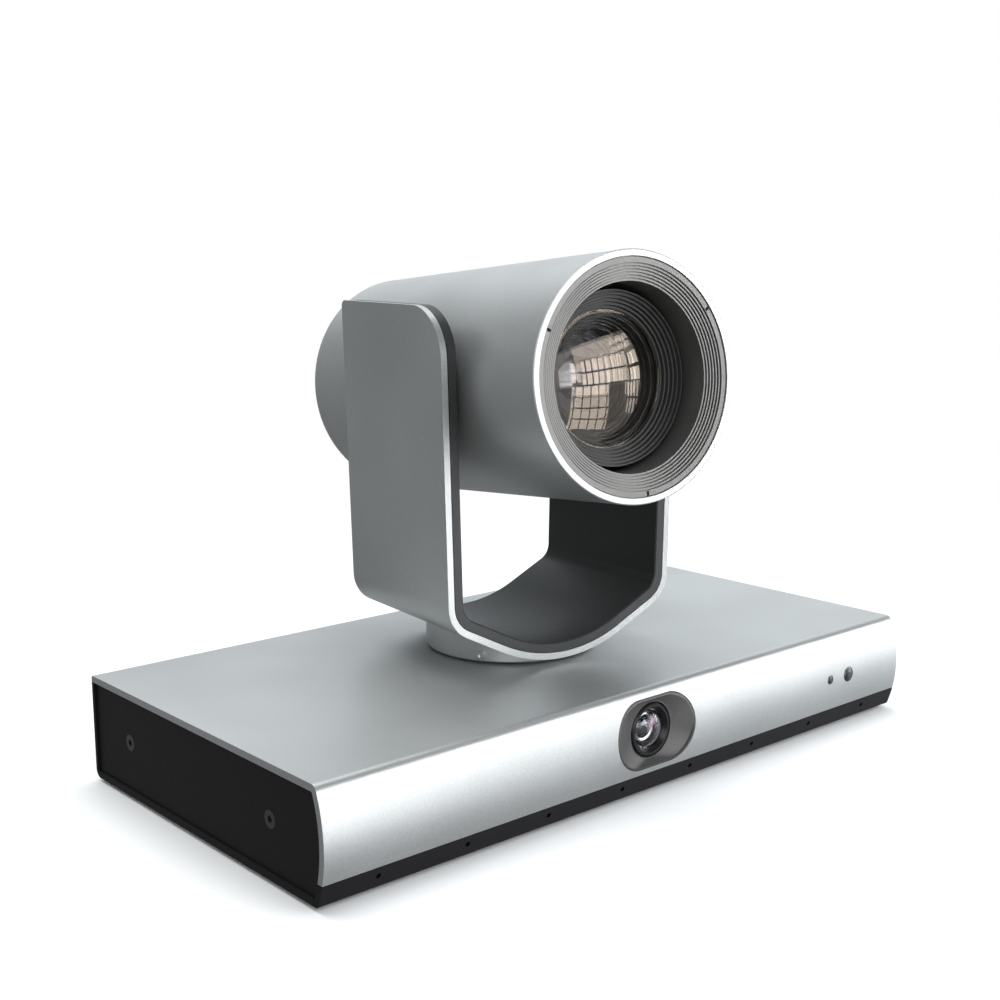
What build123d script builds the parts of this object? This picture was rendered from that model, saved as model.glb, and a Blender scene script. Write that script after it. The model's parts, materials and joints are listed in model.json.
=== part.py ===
from build123d import *
from math import acos, cos, pi, radians, sin, sqrt, tan
import os

# A two-lens pan-tilt-zoom camera. All sizes are in millimetres.
# +X is to the right seen from the front, -Y is the front and +Z is up. The origin is the mouth
# of the tripod thread, at the centre of the base's underside.

# ---- driving dimensions -------------------------------------------------------------------
# base
BASE_WIDTH = 240.0
BASE_DEPTH = 120.2
BASE_HEIGHT = 32.0
FRONT_BULGE = 3.3
SHELL_WALL = 2.0
REAR_PANEL_WALL = 1.3
TRAY_STRIP_HEIGHT = 6.6
SEAM_GAP = 0.2
TOP_FRONT_ROUND = 2.5
BOTTOM_FRONT_ROUND = 1.5
BOTTOM_BACK_ROUND = 2.6
TOP_BACK_ROUND = 0.8
FIT_GAP = 0.15
SIDE_PANEL_WALL = 2.0
SIDE_PANEL_INSET = 0.7
SIDE_SCREW_Y = 38.0
SIDE_SCREW_Z = 16.3
# front of the base
WINDOW_WIDTH = 33.3
WINDOW_HEIGHT = 21.0
WINDOW_X = -1.7
WINDOW_Z = 18.8
PANORAMA_RADIUS = 8.0
PANORAMA_RECESS = 2.7
LED_X = 82.0
LED_RADIUS = 1.5
RECEIVER_X = 91.9
RECEIVER_RADIUS = 2.5
INDICATOR_Z = 17.3
MIC_COUNT = 8
MIC_PITCH = 29.3
MIC_Z = 3.9
MIC_HOLE_RADIUS = 0.75
# pose in which the camera stands
PAN_Y = 4.2
PAN_ANGLE = -6.8
TILT_ANGLE = 5.1
TILT_HEIGHT = BASE_HEIGHT + 85.5
# head
TUBE_RADIUS = 36.0
TUBE_WALL = 1.9
TUBE_FRONT = 63.5
TUBE_BACK = 65.7
TUBE_BACK_ROUND = 1.5
HOOD_FLAT_RADIUS = TUBE_RADIUS - 3.75
HOOD_BORE_RADIUS = TUBE_RADIUS - 8.75
HOOD_GROOVES = 6
LENS_RIM_RADIUS = TUBE_RADIUS - 10.6
LENS_RIM_DEPTH = 10.0
FRONT_LENS_RADIUS = TUBE_RADIUS - 15.8
FRONT_LENS_BULGE = 3.5
LENS_RINGS = 5
# yoke
YOKE_DEPTH = 58.0
YOKE_BOTTOM = BASE_HEIGHT + 1.3
YOKE_TOP = TILT_HEIGHT + 25.5
YOKE_BELLY_RADIUS = 50.4
YOKE_SLOPE = 27.0
YOKE_ARM_X = TUBE_RADIUS + 6.0
YOKE_ARM_Z = BASE_HEIGHT + 28.0
YOKE_ARM_FLARE = 1.41
YOKE_CORNER_RADIUS = 11.0
YOKE_SHELL_WALL = 2.0
YOKE_LINER_WALL = 3.2
YOKE_TOP_FRONT_ROUND = 15.0
YOKE_TOP_BACK_ROUND = 2.0
FOOT_RADIUS = 27.4
FOOT_GAP = 0.5
# drives
PAN_MODULE = 1.25
PAN_GEAR_TEETH = 48
PAN_PINION_TEETH = 12
TILT_MODULE = 0.8
TILT_GEAR_TEETH = 40
TILT_IDLER_TEETH = 30
TILT_PINION_TEETH = 12
PRESSURE_ANGLE = 25.0
BACKLASH = 0.16
RUNNING_GAP = 0.04
SHAFT_RADIUS = 1.5
SPINDLE_RADIUS = 8.0
TRUNNION_RADIUS = 6.0
# fasteners
TRIPOD_THREAD_RADIUS = 2.6
SCREW_RADIUS = 1.25
SCREW_HEAD_RADIUS = 2.4
SCREW_GAP = 0.05

# ---- places worked out from the driving dimensions ----------------------------------------
HALF_WIDTH = BASE_WIDTH / 2
HALF_DEPTH = BASE_DEPTH / 2
FRONT = Plane.XZ
UNDERSIDE = Plane(origin=(0, 0, 0), x_dir=(1, 0, 0), z_dir=(0, 0, -1))
FLOOR_TOP = SHELL_WALL
CEILING = BASE_HEIGHT - SHELL_WALL
FRONT_MIDDLE_Y = HALF_DEPTH + FRONT_BULGE
REAR_INSIDE_Y = HALF_DEPTH - REAR_PANEL_WALL
# cuts reach this far past the face that they open
CUT_PAST = 20.0
AHEAD_OF_FRONT = -FRONT_MIDDLE_Y - CUT_PAST
ABOVE_TOP = BASE_HEIGHT + CUT_PAST
BELOW_BOTTOM = -1.0

PAN_TURN = radians(PAN_ANGLE)
TILT_TURN = radians(TILT_ANGLE)
YOKE = Plane(origin=(0, PAN_Y, 0), x_dir=(cos(PAN_TURN), sin(PAN_TURN), 0), z_dir=(0, 0, 1))
YOKE_FRONT = Plane(origin=YOKE.origin, x_dir=YOKE.x_dir, z_dir=-YOKE.y_dir)
YOKE_SIDE = Plane(origin=YOKE.origin, x_dir=YOKE.y_dir, z_dir=YOKE.x_dir)
TILT_CENTRE = YOKE.origin + Vector(0, 0, TILT_HEIGHT)
HEAD_FORWARD = Vector(0, 0, 1) * sin(TILT_TURN) - YOKE.y_dir * cos(TILT_TURN)
HEAD = Plane(origin=TILT_CENTRE, x_dir=YOKE.x_dir, z_dir=HEAD_FORWARD)
HEAD_SECTION = Plane(origin=TILT_CENTRE, x_dir=YOKE.x_dir, z_dir=-HEAD.y_dir)
HEAD_AXIS = Axis(TILT_CENTRE, HEAD_FORWARD)
TILT_LEFT = Plane(origin=TILT_CENTRE, x_dir=HEAD_FORWARD, z_dir=-YOKE.x_dir)
TILT_RIGHT = Plane(origin=TILT_CENTRE, x_dir=-HEAD_FORWARD, z_dir=YOKE.x_dir)
WINDOW_SECTION = Plane(origin=(WINDOW_X, 0, WINDOW_Z), x_dir=(1, 0, 0), z_dir=(0, 0, 1))
WINDOW_AXIS = Axis((WINDOW_X, 0, WINDOW_Z), (0, 1, 0))

os.makedirs("parts", exist_ok=True)


# ---- shapes that several pieces share -----------------------------------------------------
def save(name, piece):
    """Label a finished piece and write it as its own file."""
    piece.part.label = name
    export_step(piece.part, f"parts/{name}.step")


def turned(section, axis, points):
    """A solid of revolution from a closed outline of (radius, place along the axis)."""
    with BuildPart() as piece:
        with BuildSketch(section):
            with BuildLine():
                Polyline(*points, close=True)
            make_face()
        revolve(axis=axis)
    return piece


def domed(section, axis, radius, back, edge, top):
    """A lens: flat at the back, a straight rim up to edge, then a dome up to top."""
    rise = top - edge
    sphere = (radius**2 + rise**2) / (2 * abs(rise))
    drop = sphere - sqrt(sphere**2 - (radius / 2) ** 2)
    middle = top - drop if rise > 0 else top + drop
    with BuildPart() as piece:
        with BuildSketch(section):
            with BuildLine():
                Polyline((0, top), (0, back), (radius, back), (radius, edge))
                ThreePointArc((radius, edge), (radius / 2, middle), (0, top))
            make_face()
        revolve(axis=axis)
    return piece


def block(low, high, mode=Mode.ADD):
    """A box between two corners, added to or cut from the piece that is being made."""
    with Locations(((low[0] + high[0]) / 2, (low[1] + high[1]) / 2, (low[2] + high[2]) / 2)):
        Box(high[0] - low[0], high[1] - low[1], high[2] - low[2], mode=mode)


def stepped_rings(radius, place, count, pitch, groove, depth, step):
    """Outline points of fine rings that step back, one after the other, towards the centre."""
    points = []
    for _ in range(count):
        points += [(radius, place), (radius, place - depth)]
        points += [(radius - groove, place - depth), (radius - groove, place - step)]
        radius -= pitch
        place -= step
    return points


def gear(plane, module, teeth, first_tooth, width, bore):
    """A spur gear with involute flanks; first_tooth is the angle of one tooth in the plane."""
    pressure = radians(PRESSURE_ANGLE)
    pitch_radius = module * teeth / 2
    base_radius = pitch_radius * cos(pressure)
    root_radius = pitch_radius - 1.25 * module
    tip_radius = pitch_radius + module
    pitch_half_angle = pi / (2 * teeth) - BACKLASH / (2 * pitch_radius)

    def flank(radius, side):
        roll = acos(min(1.0, base_radius / radius))
        angle = pitch_half_angle + (tan(pressure) - pressure) - (tan(roll) - roll)
        return (radius * cos(angle), side * radius * sin(angle))

    start = max(base_radius, root_radius)
    middle = (start + tip_radius) / 2
    foot_scale = (root_radius - 0.3 * module) / start
    with BuildSketch() as tooth:
        with BuildLine():
            foot_low = tuple(foot_scale * value for value in flank(start, -1))
            foot_high = tuple(foot_scale * value for value in flank(start, 1))
            Line(foot_low, flank(start, -1))
            ThreePointArc(flank(start, -1), flank(middle, -1), flank(tip_radius, -1))
            ThreePointArc(flank(tip_radius, -1), (tip_radius, 0), flank(tip_radius, 1))
            ThreePointArc(flank(tip_radius, 1), flank(middle, 1), flank(start, 1))
            Line(flank(start, 1), foot_high)
            Line(foot_high, foot_low)
        make_face()
    with BuildPart() as piece:
        with BuildSketch(plane):
            Circle(root_radius)
            with PolarLocations(0, teeth, start_angle=first_tooth):
                add(tooth.sketch_local)
            Circle(bore, mode=Mode.SUBTRACT)
        extrude(amount=width)
    return piece


def countersunk_screws(planes, length, head_radius, shank_radius):
    """Flat-head screws with a hexagonal socket; each plane lies on a head and faces outwards."""
    head_height = head_radius - shank_radius
    with BuildPart() as screws:
        with Locations(*planes):
            Cone(shank_radius, head_radius, head_height, align=(Align.CENTER, Align.CENTER, Align.MAX))
            Cylinder(shank_radius, length, align=(Align.CENTER, Align.CENTER, Align.MAX))
        for plane in planes:
            with BuildSketch(plane):
                RegularPolygon(head_radius * 0.42, 6)
            extrude(amount=-head_height * 0.9, mode=Mode.SUBTRACT)
    return screws


def cut_countersinks(planes, length, head_radius, shank_radius):
    """Cut the holes that the same screws sit in, with their clearance."""
    rim = head_radius + SCREW_GAP
    shank = shank_radius + SCREW_GAP
    into = (Align.CENTER, Align.CENTER, Align.MAX)
    with Locations(*planes):
        Cone(shank, rim, rim - shank, align=into, mode=Mode.SUBTRACT)
        Cylinder(shank, length, align=into, mode=Mode.SUBTRACT)


# ---- base: casing -------------------------------------------------------------------------
base_corners = [
    ((-HALF_DEPTH, 0), BOTTOM_FRONT_ROUND),
    ((-HALF_DEPTH, BASE_HEIGHT), TOP_FRONT_ROUND),
    ((HALF_DEPTH, BASE_HEIGHT), TOP_BACK_ROUND),
    ((HALF_DEPTH, 0), BOTTOM_BACK_ROUND),
]
with BuildSketch() as base_outline:
    with BuildLine():
        ThreePointArc(
            (-HALF_DEPTH, 0),
            (-FRONT_MIDDLE_Y, BASE_HEIGHT / 2),
            (-HALF_DEPTH, BASE_HEIGHT),
        )
        Polyline(*[place for place, _ in base_corners[1:]], (-HALF_DEPTH, 0))
    make_face()
    for place, radius in base_corners:
        fillet(base_outline.vertices().sort_by_distance(place)[0], radius)

with BuildSketch() as base_inside:
    add(base_outline.sketch_local)
    offset(amount=-SHELL_WALL)

POST_X = HALF_WIDTH - 20.0
POST_Y = HALF_DEPTH - 10.1
POST_PLACES = [(x, -POST_Y) for x in (-POST_X, -POST_X / 2, POST_X / 2, POST_X)]
POST_PLACES += [(x, POST_Y) for x in (-POST_X, POST_X)]
POST_RADIUS = 3.2
POST_SCREW_DEPTH = 10.0
SHAFT_HOLE_RADIUS = 15.0
WINDOW_BACK_Y = HALF_DEPTH - 10.1

with BuildPart() as base_top_shell:
    with BuildSketch(Plane.YZ):
        add(base_outline.sketch_local)
        add(base_inside.sketch_local, mode=Mode.SUBTRACT)
    extrude(amount=HALF_WIDTH, both=True)
    strip_corner = (-HALF_WIDTH, AHEAD_OF_FRONT, BELOW_BOTTOM)
    block(strip_corner, (HALF_WIDTH, HALF_DEPTH, TRAY_STRIP_HEIGHT), Mode.SUBTRACT)
    block((-HALF_WIDTH, 0, BELOW_BOTTOM), (HALF_WIDTH, HALF_DEPTH, CEILING), Mode.SUBTRACT)
    with BuildSketch(Plane.XY.offset(FLOOR_TOP)):
        with Locations(*POST_PLACES):
            Circle(POST_RADIUS)
    extrude(amount=CEILING - FLOOR_TOP)
    with BuildSketch(Plane.XY.offset(FLOOR_TOP)):
        with Locations(*POST_PLACES):
            Circle(SCREW_RADIUS + SCREW_GAP)
    extrude(amount=POST_SCREW_DEPTH, mode=Mode.SUBTRACT)
    with BuildSketch(Plane.XY.offset(CEILING)):
        with Locations((0, PAN_Y)):
            Circle(SHAFT_HOLE_RADIUS)
    extrude(amount=SHELL_WALL, mode=Mode.SUBTRACT)
    with BuildSketch(FRONT.offset(WINDOW_BACK_Y)):
        with Locations((WINDOW_X, WINDOW_Z)):
            SlotOverall(WINDOW_WIDTH, WINDOW_HEIGHT)
        with Locations((LED_X, INDICATOR_Z)):
            Circle(LED_RADIUS + SCREW_GAP)
        with Locations((RECEIVER_X, INDICATOR_Z)):
            Circle(RECEIVER_RADIUS + SCREW_GAP)
    extrude(amount=CUT_PAST, mode=Mode.SUBTRACT)
save("base_top_shell", base_top_shell)

FEET_X = HALF_WIDTH - 34.0
FEET_Y = HALF_DEPTH - 16.1
FEET_PLACES = [(-FEET_X, -FEET_Y), (FEET_X, -FEET_Y), (-FEET_X, FEET_Y), (FEET_X, FEET_Y)]
FOOT_PAD_RADIUS = 6.0
FOOT_PAD_HEIGHT = 1.2
FOOT_PAD_TAPER = 12.0
NUT_RADIUS = 6.0
NUT_HEIGHT = 9.0
NUT_FLANGE_RADIUS = 9.0
NUT_FLANGE_HEIGHT = 1.5
MIC_PLACES = [(MIC_PITCH * (number - (MIC_COUNT - 1) / 2), MIC_Z) for number in range(MIC_COUNT)]
cover_screw_planes = [Plane(origin=(x, y, 0), z_dir=(0, 0, -1)) for x, y in POST_PLACES]
SCREW_TIP_ROOM = 1.0
cover_screw_length = FLOOR_TOP + POST_SCREW_DEPTH - SCREW_TIP_ROOM

with BuildPart() as base_bottom_tray:
    with BuildSketch(Plane.YZ):
        add(base_outline.sketch_local)
        add(base_inside.sketch_local, mode=Mode.SUBTRACT)
    extrude(amount=HALF_WIDTH, both=True)
    strip_top = TRAY_STRIP_HEIGHT - SEAM_GAP
    strip_corner = (-HALF_WIDTH, AHEAD_OF_FRONT, strip_top)
    block(strip_corner, (HALF_WIDTH, HALF_DEPTH, ABOVE_TOP), Mode.SUBTRACT)
    block((-HALF_WIDTH, 0, FLOOR_TOP), (HALF_WIDTH, HALF_DEPTH, ABOVE_TOP), Mode.SUBTRACT)
    with BuildSketch(Plane.XY):
        Circle(NUT_RADIUS)
    extrude(amount=FLOOR_TOP, mode=Mode.SUBTRACT)
    with BuildSketch(FRONT.offset(WINDOW_BACK_Y)):
        with Locations(*MIC_PLACES):
            Circle(MIC_HOLE_RADIUS)
    extrude(amount=CUT_PAST, mode=Mode.SUBTRACT)
    cut_countersinks(cover_screw_planes, FLOOR_TOP, SCREW_HEAD_RADIUS, SCREW_RADIUS)
save("base_bottom_tray", base_bottom_tray)

cover_screws = countersunk_screws(
    cover_screw_planes, cover_screw_length, SCREW_HEAD_RADIUS, SCREW_RADIUS
)
save("cover_screws", cover_screws)

with BuildPart() as rubber_feet:
    with BuildSketch(UNDERSIDE):
        with Locations(*FEET_PLACES):
            Circle(FOOT_PAD_RADIUS)
    extrude(amount=FOOT_PAD_HEIGHT, taper=FOOT_PAD_TAPER)
save("rubber_feet", rubber_feet)

with BuildPart() as tripod_nut:
    with BuildSketch(Plane.XY):
        Circle(NUT_RADIUS - SCREW_GAP)
    extrude(amount=NUT_HEIGHT)
    with BuildSketch(Plane.XY.offset(FLOOR_TOP)):
        RegularPolygon(NUT_FLANGE_RADIUS, 6)
    extrude(amount=NUT_FLANGE_HEIGHT)
    with BuildSketch(Plane.XY):
        Circle(TRIPOD_THREAD_RADIUS)
    extrude(amount=NUT_HEIGHT, mode=Mode.SUBTRACT)
save("tripod_nut", tripod_nut)

# ---- base: side panels with their screws and brackets -------------------------------------
SIDE_OUTSIDE_X = HALF_WIDTH - SIDE_PANEL_INSET
SIDE_INSIDE_X = SIDE_OUTSIDE_X - SIDE_PANEL_WALL
SIDE_SCREW_RADIUS = 1.5
SIDE_SCREW_HEAD_RADIUS = 2.5
SIDE_SCREW_LENGTH = 7.0
BRACKET_WALL = 2.0
BRACKET_WIDTH = 10.0
BRACKET_HEIGHT = 20.0
BRACKET_FOOT = 12.0

with BuildSketch() as side_outline:
    add(base_inside.sketch_local)
    offset(amount=-FIT_GAP)
    back_edge = REAR_INSIDE_Y - FIT_GAP
    with Locations((back_edge - 5, BASE_HEIGHT / 2)):
        Rectangle(10, CEILING - FLOOR_TOP - 2 * FIT_GAP)
    back_low = side_outline.vertices().sort_by_distance((back_edge, 0))[0]
    fillet(back_low, BOTTOM_BACK_ROUND - REAR_PANEL_WALL)

side_screw_planes = []
for side in (-1, 1):
    screw_planes = [
        Plane(origin=(side * SIDE_OUTSIDE_X, y, SIDE_SCREW_Z), z_dir=(side, 0, 0))
        for y in (-SIDE_SCREW_Y, SIDE_SCREW_Y)
    ]
    side_screw_planes += screw_planes
    with BuildPart() as side_panel:
        with BuildSketch(Plane.YZ.offset(side * SIDE_OUTSIDE_X)):
            add(side_outline.sketch_local)
        extrude(amount=-side * SIDE_PANEL_WALL)
        cut_countersinks(screw_planes, 2 * SIDE_PANEL_WALL, SIDE_SCREW_HEAD_RADIUS, SIDE_SCREW_RADIUS)
    save("left_side_panel" if side < 0 else "right_side_panel", side_panel)

side_panel_screws = countersunk_screws(
    side_screw_planes, SIDE_SCREW_LENGTH, SIDE_SCREW_HEAD_RADIUS, SIDE_SCREW_RADIUS
)
save("side_panel_screws", side_panel_screws)

with BuildPart() as side_brackets:
    for side in (-1, 1):
        for y in (-SIDE_SCREW_Y, SIDE_SCREW_Y):
            with BuildSketch(Plane.XZ.offset(-y - BRACKET_WIDTH / 2)):
                with BuildLine():
                    Polyline(
                        (side * SIDE_INSIDE_X, FLOOR_TOP),
                        (side * SIDE_INSIDE_X, FLOOR_TOP + BRACKET_HEIGHT),
                        (side * (SIDE_INSIDE_X - BRACKET_WALL), FLOOR_TOP + BRACKET_HEIGHT),
                        (side * (SIDE_INSIDE_X - BRACKET_WALL), FLOOR_TOP + BRACKET_WALL),
                        (side * (SIDE_INSIDE_X - BRACKET_FOOT), FLOOR_TOP + BRACKET_WALL),
                        (side * (SIDE_INSIDE_X - BRACKET_FOOT), FLOOR_TOP),
                        close=True,
                    )
                make_face()
            extrude(amount=BRACKET_WIDTH)
    with Locations(*side_screw_planes):
        Cylinder(
            SIDE_SCREW_RADIUS + SCREW_GAP,
            SIDE_SCREW_LENGTH + SCREW_TIP_ROOM,
            align=(Align.CENTER, Align.CENTER, Align.MAX),
            mode=Mode.SUBTRACT,
        )
save("side_brackets", side_brackets)

# ---- base: panorama window, its lens and its board ----------------------------------------
BEZEL_GAP = 0.3
BEZEL_GAP_DEPTH = 1.0
BEZEL_LIP = 0.75
BEZEL_BACK_Y = WINDOW_BACK_Y + 0.5
BARREL_FRONT_Y = FRONT_MIDDLE_Y - PANORAMA_RECESS
BARREL_BACK_Y = HALF_DEPTH - 14.1
BARREL_SHADOW_GAP = 0.5
BARREL_GAP_DEPTH = 2.5
FUNNEL_THROAT_Y = BARREL_FRONT_Y - 0.3
FUNNEL_MOUTH_Y = FRONT_MIDDLE_Y + 0.5
FUNNEL_THROAT_SIZE = (2 * PANORAMA_RADIUS + 1.9, 2 * PANORAMA_RADIUS + 1.3)
FUNNEL_THROAT_ROUND = FUNNEL_THROAT_SIZE[1] / 2 - 0.1
FUNNEL_MOUTH_SIZE = (WINDOW_WIDTH + 1.9, WINDOW_HEIGHT + 4.1)
FUNNEL_MOUTH_ROUND = 6.0
# the mouth's middle is higher than the throat's, because the front leans back at its top
FUNNEL_MOUTH_RISE = 1.9
DOME_RADIUS = 6.0
DOME_HEIGHT = 1.4
DOME_EDGE = 1.5
DOME_SEAT = 5.0
BARREL_BORE = 3.5
BARREL_FLANGE_RADIUS = 9.0
BARREL_FLANGE = 2.5
BARREL_EDGE = 0.4
BOARD_WALL = 1.6
BOARD_ROUND = 1.5
SENSOR_BOARD_SIZE = (34.0, 26.0)

with BuildPart() as funnel:
    with BuildSketch(FRONT.offset(FUNNEL_MOUTH_Y)):
        with Locations((WINDOW_X, WINDOW_Z + FUNNEL_MOUTH_RISE)):
            RectangleRounded(*FUNNEL_MOUTH_SIZE, FUNNEL_MOUTH_ROUND)
    with BuildSketch(FRONT.offset(FUNNEL_THROAT_Y)):
        with Locations((WINDOW_X, WINDOW_Z)):
            RectangleRounded(*FUNNEL_THROAT_SIZE, FUNNEL_THROAT_ROUND)
    loft()
    with BuildSketch(FRONT.offset(WINDOW_BACK_Y)):
        with Locations((WINDOW_X, WINDOW_Z)):
            SlotOverall(WINDOW_WIDTH - 2 * BEZEL_LIP, WINDOW_HEIGHT - 2 * BEZEL_LIP)
    extrude(amount=CUT_PAST, mode=Mode.INTERSECT)

# a thin gap round the bezel's front, as deep all the way round
with BuildPart() as bezel_gap:
    with BuildSketch(FRONT.offset(BEZEL_BACK_Y)):
        with Locations((WINDOW_X, WINDOW_Z)):
            SlotOverall(WINDOW_WIDTH, WINDOW_HEIGHT)
            SlotOverall(WINDOW_WIDTH - 2 * BEZEL_GAP, WINDOW_HEIGHT - 2 * BEZEL_GAP, mode=Mode.SUBTRACT)
    extrude(amount=CUT_PAST)
    with BuildSketch(Plane.YZ):
        add(base_outline.sketch_local)
        offset(amount=-BEZEL_GAP_DEPTH)
    extrude(amount=WINDOW_WIDTH, both=True, mode=Mode.SUBTRACT)

with BuildPart() as panorama_bezel:
    with BuildSketch(FRONT.offset(BEZEL_BACK_Y)):
        with Locations((WINDOW_X, WINDOW_Z)):
            SlotOverall(WINDOW_WIDTH - 2 * SCREW_GAP, WINDOW_HEIGHT - 2 * SCREW_GAP)
    extrude(amount=CUT_PAST)
    with BuildSketch(Plane.YZ):
        add(base_outline.sketch_local)
        offset(amount=-SCREW_GAP)
    extrude(amount=WINDOW_WIDTH, both=True, mode=Mode.INTERSECT)
    add(funnel.part, mode=Mode.SUBTRACT)
    add(bezel_gap.part, mode=Mode.SUBTRACT)
    with BuildSketch(FRONT.offset(BEZEL_BACK_Y)):
        with Locations((WINDOW_X, WINDOW_Z)):
            Circle(PANORAMA_RADIUS + SCREW_GAP)
    extrude(amount=CUT_PAST, mode=Mode.SUBTRACT)
    with BuildSketch(FRONT.offset(BARREL_FRONT_Y - BARREL_GAP_DEPTH)):
        with Locations((WINDOW_X, WINDOW_Z)):
            Circle(PANORAMA_RADIUS + BARREL_SHADOW_GAP)
    extrude(amount=CUT_PAST, mode=Mode.SUBTRACT)
save("panorama_bezel", panorama_bezel)

panorama_lens_barrel = turned(
    WINDOW_SECTION,
    WINDOW_AXIS,
    [
        (BARREL_BORE, -BARREL_BACK_Y),
        (BARREL_FLANGE_RADIUS, -BARREL_BACK_Y),
        (BARREL_FLANGE_RADIUS, -BARREL_BACK_Y - BARREL_FLANGE),
        (PANORAMA_RADIUS, -BARREL_BACK_Y - BARREL_FLANGE),
        (PANORAMA_RADIUS, BARREL_EDGE - BARREL_FRONT_Y),
        (PANORAMA_RADIUS - BARREL_EDGE, -BARREL_FRONT_Y),
        (PANORAMA_RADIUS - 1.0, -BARREL_FRONT_Y),
        (DOME_RADIUS, 1.2 - BARREL_FRONT_Y),
        (DOME_RADIUS, DOME_SEAT - BARREL_FRONT_Y),
        (BARREL_BORE, DOME_SEAT - BARREL_FRONT_Y),
    ],
)
save("panorama_lens_barrel", panorama_lens_barrel)

panorama_lens = domed(
    WINDOW_SECTION,
    WINDOW_AXIS,
    DOME_RADIUS - SCREW_GAP,
    DOME_SEAT - BARREL_FRONT_Y,
    DOME_EDGE - BARREL_FRONT_Y,
    -DOME_HEIGHT - BARREL_FRONT_Y,
)
save("panorama_lens", panorama_lens)

with BuildPart() as panorama_sensor_board:
    with BuildSketch(FRONT.offset(BARREL_BACK_Y)):
        with Locations((WINDOW_X, FLOOR_TOP + SENSOR_BOARD_SIZE[1] / 2)):
            RectangleRounded(*SENSOR_BOARD_SIZE, BOARD_ROUND)
    extrude(amount=-BOARD_WALL)
save("panorama_sensor_board", panorama_sensor_board)

# ---- base: indicator, remote receiver and microphones -------------------------------------
INDICATOR_BOARD_Y = HALF_DEPTH - 4.1
MIC_BOARD_HEIGHT = 4.5
INDICATOR_FRONT_Y = FRONT_MIDDLE_Y - 0.2


def indicator(x, radius, dome):
    """A round window that passes through the front wall and stands on the board behind it."""
    section = Plane(origin=(x, 0, INDICATOR_Z), x_dir=(1, 0, 0), z_dir=(0, 0, 1))
    axis = Axis((x, 0, INDICATOR_Z), (0, 1, 0))
    return domed(section, axis, radius, -INDICATOR_BOARD_Y, -INDICATOR_FRONT_Y, -INDICATOR_FRONT_Y - dome)


LED_DOME = 0.3
RECEIVER_DOME = 0.5
status_led = indicator(LED_X, LED_RADIUS, LED_DOME)
save("status_led", status_led)
receiver_window = indicator(RECEIVER_X, RECEIVER_RADIUS, RECEIVER_DOME)
save("infrared_receiver_window", receiver_window)

INDICATOR_BOARD_LOW = FLOOR_TOP + MIC_BOARD_HEIGHT + 0.2
INDICATOR_BOARD_HIGH = CEILING - 1.0
INDICATOR_BOARD_WIDTH = 26.0
with BuildPart() as indicator_board:
    with BuildSketch(FRONT.offset(INDICATOR_BOARD_Y)):
        with Locations(((LED_X + RECEIVER_X) / 2, (INDICATOR_BOARD_LOW + INDICATOR_BOARD_HIGH) / 2)):
            RectangleRounded(INDICATOR_BOARD_WIDTH, INDICATOR_BOARD_HIGH - INDICATOR_BOARD_LOW, BOARD_ROUND)
    extrude(amount=-BOARD_WALL)
save("indicator_board", indicator_board)

MIC_RADIUS = 1.9
MIC_LIFT = 0.1
MIC_BOARD_WALL = 1.2
MIC_BOARD_END = 5.0
MIC_FRONT_Y = HALF_DEPTH - 1.5
with BuildPart() as microphones:
    with BuildSketch(FRONT.offset(INDICATOR_BOARD_Y)):
        with Locations(*[(x, z + MIC_LIFT) for x, z in MIC_PLACES]):
            Circle(MIC_RADIUS)
    extrude(amount=MIC_FRONT_Y - INDICATOR_BOARD_Y)
save("microphones", microphones)

with BuildPart() as microphone_board:
    half_length = MIC_PITCH * (MIC_COUNT - 1) / 2 + MIC_BOARD_END
    block(
        (-half_length, -INDICATOR_BOARD_Y, FLOOR_TOP),
        (half_length, -INDICATOR_BOARD_Y + MIC_BOARD_WALL, FLOOR_TOP + MIC_BOARD_HEIGHT),
    )
save("microphone_board", microphone_board)

# ---- base: rear panel, main board and sockets ---------------------------------------------
BOARD_Z = 6.0
BOARD_TOP = BOARD_Z + BOARD_WALL
BOARD_BACK_Y = HALF_DEPTH - 4.1
BOARD_FRONT_Y = BOARD_BACK_Y - 100.0
BOARD_LOW = (-94.0, BOARD_FRONT_Y)
BOARD_HIGH = (-32.0, BOARD_BACK_Y)
STANDOFF_RADIUS = 2.5
STANDOFF_PLACES = [(x, y) for x in (-90, -36) for y in (BOARD_FRONT_Y + 4, BOARD_BACK_Y - 18)]
SOCKET_GAP = 0.2
SOCKET_OUT = 0.4
POWER_X = -86.0
NETWORK_X = -70.0
HDMI_X = -51.5
AUDIO_X = -38.0
SDI_X = -18.0
SDI_Z = BASE_HEIGHT / 2
SDI_RADIUS = 4.8
AUDIO_BORE = 1.8
AUDIO_BORE_LENGTH = 12.0
SOCKET_FRONT_Y = HALF_DEPTH + SOCKET_OUT
# each socket that stands on the board: place, width, height and depth
SOCKETS = {
    "power_jack": (POWER_X, 9.0, 11.0, 14.0),
    "network_jack": (NETWORK_X, 16.0, 13.5, 18.0),
    "hdmi_jack": (HDMI_X, 15.0, 6.2, 12.0),
    "audio_jack": (AUDIO_X, 7.0, 7.0, 14.0),
}


def socket_box(name, mode=Mode.ADD, gap=0.0):
    """The outside of one board socket, or the opening it shows through."""
    x, width, height, depth = SOCKETS[name]
    low = (x - width / 2 - gap, SOCKET_FRONT_Y - depth, BOARD_TOP - gap)
    high = (x + width / 2 + gap, SOCKET_FRONT_Y, BOARD_TOP + height + gap)
    block(low, high, mode)


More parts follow.
